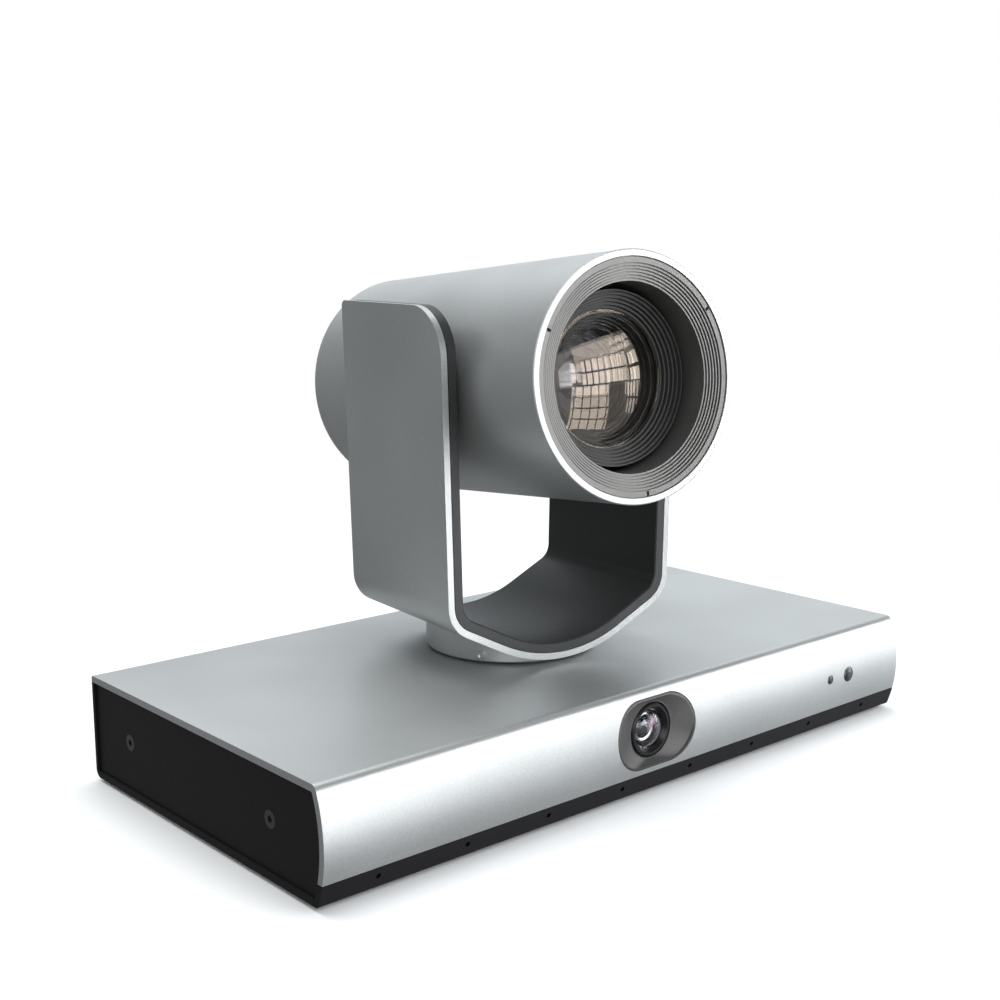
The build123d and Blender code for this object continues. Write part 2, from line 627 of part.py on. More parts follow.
with BuildPart() as rear_panel:
    block(
        (-HALF_WIDTH, REAR_INSIDE_Y, FLOOR_TOP),
        (HALF_WIDTH, HALF_DEPTH, CEILING),
    )
    for socket in SOCKETS:
        socket_box(socket, Mode.SUBTRACT, SOCKET_GAP)
    with BuildSketch(FRONT.offset(-HALF_DEPTH)):
        with Locations((SDI_X, SDI_Z)):
            Circle(SDI_RADIUS + SOCKET_GAP)
    extrude(amount=SHELL_WALL, mode=Mode.SUBTRACT)
save("rear_panel", rear_panel)

with BuildPart() as main_board:
    block((*BOARD_LOW, BOARD_Z), (*BOARD_HIGH, BOARD_TOP))
save("main_board", main_board)

with BuildPart() as board_standoffs:
    with BuildSketch(Plane.XY.offset(FLOOR_TOP)):
        with Locations(*STANDOFF_PLACES):
            RegularPolygon(STANDOFF_RADIUS, 6)
    extrude(amount=BOARD_Z - FLOOR_TOP)
save("board_standoffs", board_standoffs)

HEAT_SINK_SIZE = 34.0
HEAT_SINK_HEIGHT = 10.0
HEAT_SINK_FINS = 8
HEAT_SINK_BASE = 2.5
FIN_WALL = 1.3
FIN_PITCH = HEAT_SINK_SIZE / HEAT_SINK_FINS
HEAT_SINK_PLACE = ((BOARD_LOW[0] + BOARD_HIGH[0]) / 2, BOARD_FRONT_Y + 32)
with BuildPart() as heat_sink:
    with BuildSketch(Plane.XY.offset(BOARD_TOP)):
        with Locations(HEAT_SINK_PLACE):
            Rectangle(HEAT_SINK_SIZE, HEAT_SINK_SIZE)
    extrude(amount=HEAT_SINK_HEIGHT)
    with BuildSketch(Plane.XY.offset(BOARD_TOP + HEAT_SINK_BASE)):
        with Locations(HEAT_SINK_PLACE):
            with GridLocations(FIN_PITCH, 1, HEAT_SINK_FINS - 1, 1):
                Rectangle(FIN_PITCH - FIN_WALL, HEAT_SINK_SIZE + 1)
    extrude(amount=HEAT_SINK_HEIGHT, mode=Mode.SUBTRACT)
save("heat_sink", heat_sink)

BARREL_JACK_RADIUS = 3.2
BARREL_JACK_PIN = 1.0
BARREL_JACK_DEPTH = 9.5
with BuildPart() as power_jack:
    socket_box("power_jack")
    with BuildSketch(FRONT.offset(-SOCKET_FRONT_Y)):
        with Locations((POWER_X, BOARD_TOP + SOCKETS["power_jack"][2] / 2)):
            Circle(BARREL_JACK_RADIUS)
            Circle(BARREL_JACK_PIN, mode=Mode.SUBTRACT)
    extrude(amount=BARREL_JACK_DEPTH, mode=Mode.SUBTRACT)
save("power_jack", power_jack)

NETWORK_SLOT = (11.8, 8.0, 13.0)
NETWORK_SLOT_BELOW = 4.5
NETWORK_LATCH_HALF = 3.0
NETWORK_LATCH_ABOVE = 5.2
with BuildPart() as network_jack:
    socket_box("network_jack")
    middle_z = BOARD_TOP + SOCKETS["network_jack"][2] / 2
    block(
        (NETWORK_X - NETWORK_SLOT[0] / 2, SOCKET_FRONT_Y - NETWORK_SLOT[2], middle_z - NETWORK_SLOT_BELOW),
        (NETWORK_X + NETWORK_SLOT[0] / 2, SOCKET_FRONT_Y, middle_z - NETWORK_SLOT_BELOW + NETWORK_SLOT[1]),
        Mode.SUBTRACT,
    )
    block(
        (NETWORK_X - NETWORK_LATCH_HALF, SOCKET_FRONT_Y - NETWORK_SLOT[2], middle_z - NETWORK_SLOT_BELOW),
        (NETWORK_X + NETWORK_LATCH_HALF, SOCKET_FRONT_Y, middle_z + NETWORK_LATCH_ABOVE),
        Mode.SUBTRACT,
    )
save("network_jack", network_jack)

HDMI_WALL = 0.5
HDMI_DEPTH = 9.0
TONGUE_HALF_WIDTH = 5.5
TONGUE_HALF_WALL = 0.4
TONGUE_SET_BACK = 2.0
TONGUE_ROOT = HDMI_DEPTH + 0.5
with BuildPart() as hdmi_jack:
    socket_box("hdmi_jack")
    hdmi_width, hdmi_height = SOCKETS["hdmi_jack"][1:3]
    hdmi_middle = BOARD_TOP + hdmi_height / 2
    block(
        (HDMI_X - hdmi_width / 2 + HDMI_WALL, SOCKET_FRONT_Y - HDMI_DEPTH, BOARD_TOP + HDMI_WALL),
        (HDMI_X + hdmi_width / 2 - HDMI_WALL, SOCKET_FRONT_Y, BOARD_TOP + hdmi_height - HDMI_WALL),
        Mode.SUBTRACT,
    )
    block(
        (HDMI_X - TONGUE_HALF_WIDTH, SOCKET_FRONT_Y - TONGUE_ROOT, hdmi_middle - TONGUE_HALF_WALL),
        (
            HDMI_X + TONGUE_HALF_WIDTH,
            SOCKET_FRONT_Y - TONGUE_SET_BACK,
            hdmi_middle + TONGUE_HALF_WALL,
        ),
    )
save("hdmi_jack", hdmi_jack)

with BuildPart() as audio_jack:
    socket_box("audio_jack")
    with BuildSketch(FRONT.offset(-SOCKET_FRONT_Y)):
        with Locations((AUDIO_X, BOARD_TOP + SOCKETS["audio_jack"][2] / 2)):
            Circle(AUDIO_BORE)
    extrude(amount=AUDIO_BORE_LENGTH, mode=Mode.SUBTRACT)
save("audio_jack", audio_jack)

SDI_SECTION = Plane(origin=(SDI_X, 0, SDI_Z), x_dir=(1, 0, 0), z_dir=(0, 0, 1))
SDI_AXIS = Axis((SDI_X, 0, SDI_Z), (0, 1, 0))
SDI_LENGTH = 9.0
SDI_SHOULDER_RADIUS = 6.5
SDI_TAIL = 7.0
SDI_TAIL_RADIUS = 3.0
SDI_NUT = 2.5
SDI_RIM = 0.7
SDI_PIN_RADIUS = 1.1
SDI_PIN_BACK = 2.0
LUG_RADIUS = 1.0
LUG_REACH = 0.8
LUG_BACK = 2.5
SDI_END_Y = HALF_DEPTH + SDI_LENGTH
SDI_FLANGE_Y = HALF_DEPTH + 1.5
sdi_connector = turned(
    SDI_SECTION,
    SDI_AXIS,
    [
        (0, REAR_INSIDE_Y - SDI_TAIL),
        (SDI_TAIL_RADIUS, REAR_INSIDE_Y - SDI_TAIL),
        (SDI_TAIL_RADIUS, REAR_INSIDE_Y - SDI_NUT),
        (SDI_SHOULDER_RADIUS, REAR_INSIDE_Y - SDI_NUT),
        (SDI_SHOULDER_RADIUS, REAR_INSIDE_Y),
        (SDI_RADIUS, REAR_INSIDE_Y),
        (SDI_RADIUS, HALF_DEPTH),
        (SDI_SHOULDER_RADIUS, HALF_DEPTH),
        (SDI_SHOULDER_RADIUS, SDI_FLANGE_Y),
        (SDI_RADIUS, SDI_FLANGE_Y),
        (SDI_RADIUS, SDI_END_Y),
        (SDI_RADIUS - SDI_RIM, SDI_END_Y),
        (SDI_RADIUS - SDI_RIM, SDI_FLANGE_Y),
        (SDI_PIN_RADIUS, SDI_FLANGE_Y),
        (SDI_PIN_RADIUS, SDI_END_Y - SDI_PIN_BACK),
        (0, SDI_END_Y - SDI_PIN_BACK),
    ],
)
with BuildPart() as bayonet_lugs:
    add(sdi_connector.part)
    with Locations(Location((SDI_X, SDI_END_Y - LUG_BACK, SDI_Z))):
        Cylinder(LUG_RADIUS, 2 * (SDI_RADIUS + LUG_REACH), rotation=(0, 90, 0))
        Cylinder(SDI_RADIUS - SDI_RIM, 2 * SDI_PIN_BACK, rotation=(90, 0, 0), mode=Mode.SUBTRACT)
        Cylinder(SDI_PIN_RADIUS, 4, rotation=(90, 0, 0))
save("sdi_connector", bayonet_lugs)

# ---- base: pan drive ----------------------------------------------------------------------
PLATE_TOP = BASE_HEIGHT - 13.0
PLATE_BOTTOM = PLATE_TOP - 2.0
BUSH_WALL = 2.0
BUSH_BOTTOM = PLATE_TOP - 7.0
BUSH_FLANGE = 1.0
BUSH_RADIUS = SPINDLE_RADIUS + BUSH_WALL
PAN_GEAR_BOTTOM = PLATE_TOP + BUSH_FLANGE + 0.1
PAN_GEAR_WIDTH = 4.0
PAN_GEAR_TOP = PAN_GEAR_BOTTOM + PAN_GEAR_WIDTH
SPINDLE_BOTTOM = BUSH_BOTTOM - 1.5
SPINDLE_BORE = 5.0
SPINDLE_FLANGE_RADIUS = SHAFT_HOLE_RADIUS - 1.0
RING_WALL = 1.0
PAN_CENTRE_DISTANCE = PAN_MODULE * (PAN_GEAR_TEETH + PAN_PINION_TEETH) / 2
PAN_MOTOR_RADIUS = 17.5
PAN_MOTOR_HEIGHT = 12.0
SHAFT_DEPTH = 4.0
FOOT_BOTTOM = BASE_HEIGHT + FOOT_GAP
LEG_RADIUS = 4.0
PLATE_SIZE = (86.0, 54.0)
PLATE_MIDDLE = (20.0, 4.0)
PLATE_ROUND = 5.0
LEG_SPACING = (76.0, 44.0)
SENSOR_REACH = PAN_MODULE * (PAN_GEAR_TEETH + 2) / 2 + 2.0
TAB_SIZE = (10.0, 24.0)
BUSH_COLLAR = 2.5
BUSH_LIP = 2.0

with BuildPart() as pan_frame:
    with BuildSketch(Plane.XY.offset(PLATE_BOTTOM)):
        with Locations(PLATE_MIDDLE):
            RectangleRounded(*PLATE_SIZE, PLATE_ROUND)
        with Locations((0, PAN_Y + SENSOR_REACH - TAB_SIZE[1] / 3)):
            Rectangle(*TAB_SIZE)
    extrude(amount=PLATE_TOP - PLATE_BOTTOM)
    with BuildSketch(Plane.XY.offset(FLOOR_TOP)):
        with Locations((PLATE_MIDDLE[0], PLATE_MIDDLE[1])):
            with GridLocations(*LEG_SPACING, 2, 2):
                Circle(LEG_RADIUS)
    extrude(amount=PLATE_BOTTOM - FLOOR_TOP)
    with BuildSketch(Plane.XY.offset(BUSH_BOTTOM)):
        with Locations((0, PAN_Y)):
            Circle(BUSH_RADIUS + BUSH_COLLAR)
    extrude(amount=PLATE_TOP - BUSH_BOTTOM)
    with BuildSketch(Plane.XY.offset(BUSH_BOTTOM)):
        with Locations((0, PAN_Y)):
            Circle(BUSH_RADIUS + RUNNING_GAP / 2)
        with Locations((PAN_CENTRE_DISTANCE, PAN_Y)):
            Circle(SHAFT_RADIUS + 2)
    extrude(amount=PLATE_TOP - BUSH_BOTTOM, mode=Mode.SUBTRACT)
save("pan_frame", pan_frame)

with BuildPart() as pan_bush:
    with BuildSketch(Plane.XY.offset(BUSH_BOTTOM)):
        with Locations((0, PAN_Y)):
            Circle(BUSH_RADIUS)
    extrude(amount=PLATE_TOP - BUSH_BOTTOM)
    with BuildSketch(Plane.XY.offset(PLATE_TOP)):
        with Locations((0, PAN_Y)):
            Circle(BUSH_RADIUS + BUSH_LIP)
    extrude(amount=BUSH_FLANGE)
    with BuildSketch(Plane.XY.offset(BUSH_BOTTOM)):
        with Locations((0, PAN_Y)):
            Circle(SPINDLE_RADIUS + RUNNING_GAP)
    extrude(amount=PLATE_TOP + BUSH_FLANGE - BUSH_BOTTOM, mode=Mode.SUBTRACT)
save("pan_bush", pan_bush)

with BuildPart() as pan_motor:
    with BuildSketch(Plane.XY.offset(PLATE_BOTTOM)):
        with Locations((PAN_CENTRE_DISTANCE, PAN_Y)):
            Circle(PAN_MOTOR_RADIUS)
    extrude(amount=-PAN_MOTOR_HEIGHT)
    fillet(pan_motor.edges().filter_by(GeomType.CIRCLE), 0.8)
    with BuildSketch(Plane.XY.offset(PLATE_BOTTOM)):
        with Locations((PAN_CENTRE_DISTANCE, PAN_Y)):
            Circle(SHAFT_RADIUS + RUNNING_GAP)
    extrude(amount=-SHAFT_DEPTH, mode=Mode.SUBTRACT)
save("pan_motor", pan_motor)

pinion_plane = Plane(origin=(PAN_CENTRE_DISTANCE, PAN_Y, PAN_GEAR_BOTTOM - 0.3))
pan_pinion = gear(pinion_plane, PAN_MODULE, PAN_PINION_TEETH, 0, PAN_GEAR_WIDTH + 0.6, SHAFT_RADIUS)
save("pan_pinion", pan_pinion)

with BuildPart() as pan_motor_shaft:
    with BuildSketch(Plane.XY.offset(PLATE_BOTTOM - SHAFT_DEPTH + 0.3)):
        with Locations((PAN_CENTRE_DISTANCE, PAN_Y)):
            Circle(SHAFT_RADIUS)
    extrude(amount=PAN_GEAR_TOP + 0.6 - PLATE_BOTTOM + SHAFT_DEPTH - 0.3)
save("pan_motor_shaft", pan_motor_shaft)

gear_plane = Plane(origin=(0, PAN_Y, PAN_GEAR_BOTTOM))
pan_gear_blank = gear(
    gear_plane, PAN_MODULE, PAN_GEAR_TEETH, 180 / PAN_GEAR_TEETH, PAN_GEAR_WIDTH, SPINDLE_RADIUS
)
FLAG_REACH = PAN_MODULE * PAN_GEAR_TEETH / 2 - 4.5
FLAG_WALL = 1.2
with BuildPart() as pan_gear:
    add(pan_gear_blank.part)
    with BuildSketch(YOKE.offset(PAN_GEAR_TOP)):
        with Locations((0, -FLAG_REACH)):
            Rectangle(4, FLAG_WALL)
    extrude(amount=2.8)
save("pan_gear", pan_gear)

PRONG_WALL = 2.0
PRONG_GAP = 0.9
PRONG_BOTTOM = PAN_GEAR_TOP + 0.7
SENSOR_TOP = CEILING - 0.5
with BuildPart() as pan_home_sensor:
    inner = PAN_Y + FLAG_REACH - FLAG_WALL / 2 - PRONG_GAP
    outer = PAN_Y + FLAG_REACH + FLAG_WALL / 2 + PRONG_GAP
    post = PAN_Y + SENSOR_REACH
    block((-3, inner - PRONG_WALL, PRONG_BOTTOM), (3, inner, SENSOR_TOP))
    block((-3, outer, PRONG_BOTTOM), (3, outer + PRONG_WALL, SENSOR_TOP))
    block((-3, inner - PRONG_WALL, SENSOR_TOP - 1.6), (3, post + PRONG_WALL, SENSOR_TOP))
    block((-3, post, PLATE_TOP), (3, post + PRONG_WALL, SENSOR_TOP))
save("pan_home_sensor", pan_home_sensor)

# ---- yoke: spindle, foot, U-shaped strap and its liner ------------------------------------
with BuildPart() as pan_spindle:
    with BuildSketch(YOKE.offset(SPINDLE_BOTTOM)):
        Circle(SPINDLE_RADIUS)
    extrude(amount=PAN_GEAR_TOP - SPINDLE_BOTTOM)
    with BuildSketch(YOKE.offset(PAN_GEAR_TOP)):
        Circle(SPINDLE_FLANGE_RADIUS)
    extrude(amount=FOOT_BOTTOM - PAN_GEAR_TOP)
    with BuildSketch(YOKE.offset(SPINDLE_BOTTOM)):
        Circle(SPINDLE_BORE)
    extrude(amount=FOOT_BOTTOM - SPINDLE_BOTTOM, mode=Mode.SUBTRACT)
    ring_low = BUSH_BOTTOM - 0.1 - RING_WALL
    with BuildSketch(YOKE.offset(ring_low)):
        Circle(SPINDLE_RADIUS + 1)
        Circle(SPINDLE_RADIUS - 0.6, mode=Mode.SUBTRACT)
    extrude(amount=RING_WALL, mode=Mode.SUBTRACT)
save("pan_spindle", pan_spindle)

with BuildPart() as spindle_ring:
    with BuildSketch(YOKE.offset(ring_low)):
        Circle(SPINDLE_RADIUS + 2.2)
        Circle(SPINDLE_RADIUS - 0.6, mode=Mode.SUBTRACT)
        with Locations((0, SPINDLE_RADIUS)):
            Rectangle(4, 6, mode=Mode.SUBTRACT)
    extrude(amount=RING_WALL)
save("spindle_ring", spindle_ring)

ARM_ROOM = 30.0


def yoke_face(inset):
    """The region inside the strap's outline, moved inwards by inset, and open at the top."""
    slope = radians(YOKE_SLOPE)
    flare = radians(YOKE_ARM_FLARE)
    belly = YOKE_BELLY_RADIUS - inset
    centre_z = YOKE_BOTTOM + YOKE_BELLY_RADIUS
    belly_end = (belly * sin(slope), centre_z - belly * cos(slope))
    arm_x = YOKE_ARM_X - inset / cos(flare)
    # where the sloping shoulder would meet the arm's line
    rise_to_arm = belly_end[1] - YOKE_ARM_Z
    reach = arm_x - belly_end[0] + rise_to_arm * tan(flare)
    corner_x = belly_end[0] + reach / (1 - tan(slope) * tan(flare))
    corner = (corner_x, belly_end[1] + (corner_x - belly_end[0]) * tan(slope))
    top_z = YOKE_TOP + ARM_ROOM
    arm_top = (arm_x + (top_z - YOKE_ARM_Z) * tan(flare), top_z)
    with BuildSketch() as region:
        with BuildLine():
            ThreePointArc((-belly_end[0], belly_end[1]), (0, YOKE_BOTTOM + inset), belly_end)
            Polyline(belly_end, corner, arm_top, (-arm_top[0], top_z), (-corner[0], corner[1]),
                     (-belly_end[0], belly_end[1]))
        make_face()
        for side in (-1, 1):
            point = (side * corner[0], corner[1])
            fillet(region.vertices().sort_by_distance(point)[0], YOKE_CORNER_RADIUS - inset)
    return region.sketch_local


with BuildSketch() as arm_outline:
    with Locations((0, YOKE_TOP / 2)):
        Rectangle(YOKE_DEPTH, YOKE_TOP)
    for side, radius in ((-1, YOKE_TOP_FRONT_ROUND), (1, YOKE_TOP_BACK_ROUND)):
        place = (side * YOKE_DEPTH / 2, YOKE_TOP)
        fillet(arm_outline.vertices().sort_by_distance(place)[0], radius)


def strap(outer_inset, inner_inset):
    """A U-shaped strap between two insets, with the arms' ends rounded in side view."""
    with BuildPart() as piece:
        with BuildSketch(YOKE_FRONT):
            add(yoke_face(outer_inset))
            add(yoke_face(inner_inset), mode=Mode.SUBTRACT)
        extrude(amount=YOKE_DEPTH / 2, both=True)
        with BuildSketch(YOKE_SIDE):
            add(arm_outline.sketch_local)
        extrude(amount=2 * YOKE_ARM_X, both=True, mode=Mode.INTERSECT)
    return piece


yoke_shell = strap(0, YOKE_SHELL_WALL)
with BuildPart() as yoke_shell_bored:
    add(yoke_shell.part)
    with BuildSketch(YOKE.offset(YOKE_BOTTOM - 1)):
        Circle(SPINDLE_BORE)
    extrude(amount=SHELL_WALL + 3, mode=Mode.SUBTRACT)
save("yoke_shell", yoke_shell_bored)

LINER_EDGE = 0.35
LINER_GAP = 0.3
LINER_GAP_DEPTH = 0.8
liner_strap = strap(YOKE_SHELL_WALL, YOKE_SHELL_WALL + YOKE_LINER_WALL)
with BuildPart() as yoke_liner:
    add(liner_strap.part)
    # the front edge along the inside of the strap is broken
    with BuildSketch(YOKE_FRONT.offset(YOKE_DEPTH / 2)):
        add(yoke_face(YOKE_SHELL_WALL + YOKE_LINER_WALL - LINER_EDGE))
    with BuildSketch(YOKE_FRONT.offset(YOKE_DEPTH / 2 - LINER_EDGE)):
        add(yoke_face(YOKE_SHELL_WALL + YOKE_LINER_WALL))
    loft(mode=Mode.SUBTRACT)
    # a thin gap along the shell's front edge
    with BuildSketch(YOKE_FRONT.offset(YOKE_DEPTH / 2)):
        add(yoke_face(YOKE_SHELL_WALL))
        add(yoke_face(YOKE_SHELL_WALL + LINER_GAP), mode=Mode.SUBTRACT)
    extrude(amount=-LINER_GAP_DEPTH, mode=Mode.SUBTRACT)
save("yoke_liner", yoke_liner)

FOOT_SCREW_ANGLE = 216.0
FOOT_SCREW_Z = FOOT_BOTTOM + 2.2
FOOT_SCREW_RADIUS = 0.9
FOOT_SCREW_HEAD = 1.4
FOOT_SCREW_LENGTH = 5.0
foot_screw_planes = []
for turn in (0, 180):
    angle = radians(FOOT_SCREW_ANGLE + turn)
    out = YOKE.x_dir * cos(angle) + YOKE.y_dir * sin(angle)
    foot_screw_planes += [
        Plane(origin=YOKE.origin + out * FOOT_RADIUS + Vector(0, 0, FOOT_SCREW_Z), z_dir=out)
    ]

with BuildPart() as yoke_foot:
    with BuildSketch(YOKE.offset(FOOT_BOTTOM)):
        Circle(FOOT_RADIUS)
    extrude(amount=FOOT_RADIUS)
    chamfer(yoke_foot.edges().filter_by(GeomType.CIRCLE).sort_by(Axis.Z)[0], 0.5)
    with BuildSketch(YOKE_FRONT):
        add(yoke_face(0))
    extrude(amount=YOKE_DEPTH / 2, both=True, mode=Mode.SUBTRACT)
    with BuildSketch(YOKE.offset(FOOT_BOTTOM)):
        Circle(SPINDLE_BORE)
    extrude(amount=FOOT_RADIUS, mode=Mode.SUBTRACT)
    with Locations(*foot_screw_planes):
        Cylinder(
            FOOT_SCREW_RADIUS + SCREW_GAP,
            FOOT_SCREW_LENGTH,
            align=(Align.CENTER, Align.CENTER, Align.MAX),
            mode=Mode.SUBTRACT,
        )
save("yoke_foot", yoke_foot)

with BuildPart() as yoke_foot_screws:
    with Locations(*foot_screw_planes):
        Cylinder(FOOT_SCREW_HEAD, 0.9, align=(Align.CENTER, Align.CENTER, Align.MIN))
        Cylinder(
            FOOT_SCREW_RADIUS,
            FOOT_SCREW_LENGTH - 0.5,
            align=(Align.CENTER, Align.CENTER, Align.MAX),
        )
    for plane in foot_screw_planes:
        with BuildSketch(plane.offset(0.9)):
            RegularPolygon(0.7, 6)
        extrude(amount=-0.6, mode=Mode.SUBTRACT)
save("yoke_foot_screws", yoke_foot_screws)

# ---- yoke: trunnions and the fixed tilt gear ----------------------------------------------
TILT_GEAR_INSIDE = TUBE_RADIUS - 11.8
TILT_GEAR_WIDTH = 3.5
CHASSIS_INSIDE = TUBE_RADIUS - 7.5
CHASSIS_WALL = 1.5
CHASSIS_OUTSIDE = CHASSIS_INSIDE + CHASSIS_WALL
TILT_BUSH_FLANGE = 1.0
TRUNNION_DISC_RADIUS = 11.0
TRUNNION_DISC_INSIDE = TUBE_RADIUS + 0.5
TRUNNION_BORE = 3.5
TUBE_HOLE_RADIUS = 8.2


def trunnion(plane, inner_end):
    """A hollow pivot that stands on an arm's inside and reaches into the head."""
    shoulder = CHASSIS_OUTSIDE + TILT_BUSH_FLANGE + 0.1
    with BuildPart() as piece:
        with BuildSketch(plane.offset(inner_end)):
            Circle(TRUNNION_RADIUS)
        extrude(amount=shoulder - inner_end)
        with BuildSketch(plane.offset(shoulder)):
            Circle(TUBE_HOLE_RADIUS - 0.7)
        extrude(amount=TRUNNION_DISC_INSIDE - shoulder)
        with BuildSketch(plane.offset(TRUNNION_DISC_INSIDE)):
            Circle(TRUNNION_DISC_RADIUS)
        extrude(amount=6)
        with BuildSketch(plane.offset(inner_end)):
            Circle(TRUNNION_BORE)
        extrude(amount=TRUNNION_DISC_INSIDE - inner_end, mode=Mode.SUBTRACT)
        # the disc ends on the liner, which leans outwards a little
        with BuildSketch(YOKE_FRONT):
            add(yoke_face(YOKE_SHELL_WALL + YOKE_LINER_WALL))
        extrude(amount=YOKE_DEPTH, both=True, mode=Mode.INTERSECT)
    return piece


left_trunnion = trunnion(TILT_LEFT, TILT_GEAR_INSIDE - 0.2)
save("left_trunnion", left_trunnion)
right_trunnion = trunnion(TILT_RIGHT, TILT_GEAR_INSIDE - 0.2)
save("right_trunnion", right_trunnion)

tilt_gear = gear(
    TILT_LEFT.offset(TILT_GEAR_INSIDE), TILT_MODULE, TILT_GEAR_TEETH, 0, TILT_GEAR_WIDTH, TRUNNION_RADIUS
)
save("tilt_gear", tilt_gear)

# ---- head: tube, hood and rear cap --------------------------------------------------------
TUBE_INSIDE = TUBE_RADIUS - TUBE_WALL
HOOD_FACE = TUBE_FRONT - 0.4
HOOD_BACK = TUBE_FRONT - 15.5
HOOD_SLEEVE_RADIUS = HOOD_BORE_RADIUS + 1.7
HOOD_FLANGE_WALL = 4.0
HOOD_PITCH = (HOOD_FLAT_RADIUS - HOOD_BORE_RADIUS) / HOOD_GROOVES
HOOD_STEP = 0.35
HOOD_FACE_GAP = 0.3
HOOD_GAP_DEPTH = 1.0
HOOD_NOTCH_ANGLES = (34, 154, 274)
CAP_OUTSIDE = TUBE_BACK - 0.6
CAP_WALL = 3.0
CHASSIS_BACK = TUBE_BACK - 5.7
CHASSIS_PLATE = 2.0
CAP_SCREW_X = CHASSIS_INSIDE - 11.5
CAP_SCREW_UP = 9.0
CAP_SCREW_PLACES = [(x, h) for h in (-CAP_SCREW_UP, CAP_SCREW_UP) for x in (-CAP_SCREW_X, CAP_SCREW_X)]

with BuildPart() as head_tube:
    with BuildSketch(HEAD.offset(-TUBE_BACK)):
        Circle(TUBE_RADIUS)
    extrude(amount=TUBE_FRONT + TUBE_BACK)
    ends = head_tube.edges().filter_by(GeomType.CIRCLE).sort_by(HEAD_AXIS)
    fillet(ends[0], TUBE_BACK_ROUND)
    chamfer(ends[-1], 0.3)
    with BuildSketch(HEAD.offset(-TUBE_BACK)):
        Circle(TUBE_INSIDE)
    extrude(amount=TUBE_FRONT + TUBE_BACK, mode=Mode.SUBTRACT)
    with BuildSketch(TILT_RIGHT):
        Circle(TUBE_HOLE_RADIUS)
    extrude(amount=TUBE_RADIUS, both=True, mode=Mode.SUBTRACT)
save("head_tube", head_tube)

hood_rings = stepped_rings(
    HOOD_FLAT_RADIUS, HOOD_FACE, HOOD_GROOVES, HOOD_PITCH, 0.38, 0.75, HOOD_STEP
)
lens_hood_ring = turned(
    HEAD_SECTION,
    HEAD_AXIS,
    [
        (TUBE_INSIDE - SCREW_GAP, HOOD_FACE - HOOD_GAP_DEPTH),
        (TUBE_INSIDE - HOOD_FACE_GAP, HOOD_FACE - HOOD_GAP_DEPTH),
        (TUBE_INSIDE - HOOD_FACE_GAP, HOOD_FACE),
    ]
    + hood_rings
    + [
        (HOOD_BORE_RADIUS, HOOD_FACE - HOOD_GROOVES * HOOD_STEP),
        (HOOD_BORE_RADIUS, HOOD_BACK),
        (HOOD_SLEEVE_RADIUS, HOOD_BACK),
        (HOOD_SLEEVE_RADIUS, HOOD_FACE - HOOD_FLANGE_WALL),
        (TUBE_INSIDE - SCREW_GAP, HOOD_FACE - HOOD_FLANGE_WALL),
    ],
)
with BuildPart() as lens_hood:
    add(lens_hood_ring.part)
    with BuildSketch(HEAD.offset(HOOD_FACE)):
        for angle in HOOD_NOTCH_ANGLES:
            with PolarLocations(TUBE_INSIDE - 0.7, 1, start_angle=angle):
                Rectangle(2.0, 0.9)
    extrude(amount=-1.2, mode=Mode.SUBTRACT)
save("lens_hood", lens_hood)

cap_screw_planes = [
    Plane(
        origin=HEAD.origin + HEAD.x_dir * x + HEAD.y_dir * h - HEAD_FORWARD * CAP_OUTSIDE,
        z_dir=-HEAD_FORWARD,
    )
    for x, h in CAP_SCREW_PLACES
]
with BuildPart() as head_rear_cap:
    with BuildSketch(HEAD.offset(-CAP_OUTSIDE)):
        Circle(TUBE_INSIDE - SCREW_GAP)
    extrude(amount=CAP_WALL)
    with BuildSketch(HEAD.offset(-CAP_OUTSIDE)):
        with Locations(*CAP_SCREW_PLACES):
            Circle(3)
    extrude(amount=CAP_OUTSIDE - CHASSIS_BACK)
    cut_countersinks(cap_screw_planes, CAP_OUTSIDE, SCREW_HEAD_RADIUS, SCREW_RADIUS)
save("head_rear_cap", head_rear_cap)

cap_screw_length = CAP_OUTSIDE - CHASSIS_BACK + CHASSIS_PLATE
cap_screws = countersunk_screws(
    cap_screw_planes, cap_screw_length, SCREW_HEAD_RADIUS, SCREW_RADIUS
)
save("rear_cap_screws", cap_screws)

# ---- head: zoom lens ----------------------------------------------------------------------
CARRIER_BACK = TUBE_FRONT - 43.5
CARRIER_WALL = 2.5
LENS_FRONT = TUBE_FRONT - LENS_RIM_DEPTH
LENS_RING_PITCH = (LENS_RIM_RADIUS - 0.5 - FRONT_LENS_RADIUS) / LENS_RINGS
LENS_RING_STEP = 0.8
LENS_SEAT = LENS_FRONT - LENS_RINGS * LENS_RING_STEP
LENS_BACK = LENS_SEAT - 3.0
LENS_BARREL_BORE = FRONT_LENS_RADIUS - 1.7
BLOCK_HALF = TUBE_RADIUS - 15.0
BLOCK_BACK = -34.0
BLOCK_WALL = 3.0
BLOCK_BORE = LENS_BARREL_BORE - 0.7
CELL_RADIUS = BLOCK_BORE - 0.8
ROD_RADIUS = 1.0
ROD_REACH = CELL_RADIUS - 2.0

lens_barrel = turned(
    HEAD_SECTION,
    HEAD_AXIS,
    [(LENS_RIM_RADIUS, LENS_FRONT)]
    + stepped_rings(
        LENS_RIM_RADIUS - 0.5, LENS_FRONT, LENS_RINGS, LENS_RING_PITCH, 0.45, 1.2, LENS_RING_STEP
    )
    + [
        (FRONT_LENS_RADIUS, LENS_SEAT),
        (FRONT_LENS_RADIUS, LENS_BACK),
        (LENS_BARREL_BORE, LENS_BACK),
        (LENS_BARREL_BORE, CARRIER_BACK),
        (LENS_RIM_RADIUS, CARRIER_BACK),
    ],
)
save("lens_barrel", lens_barrel)

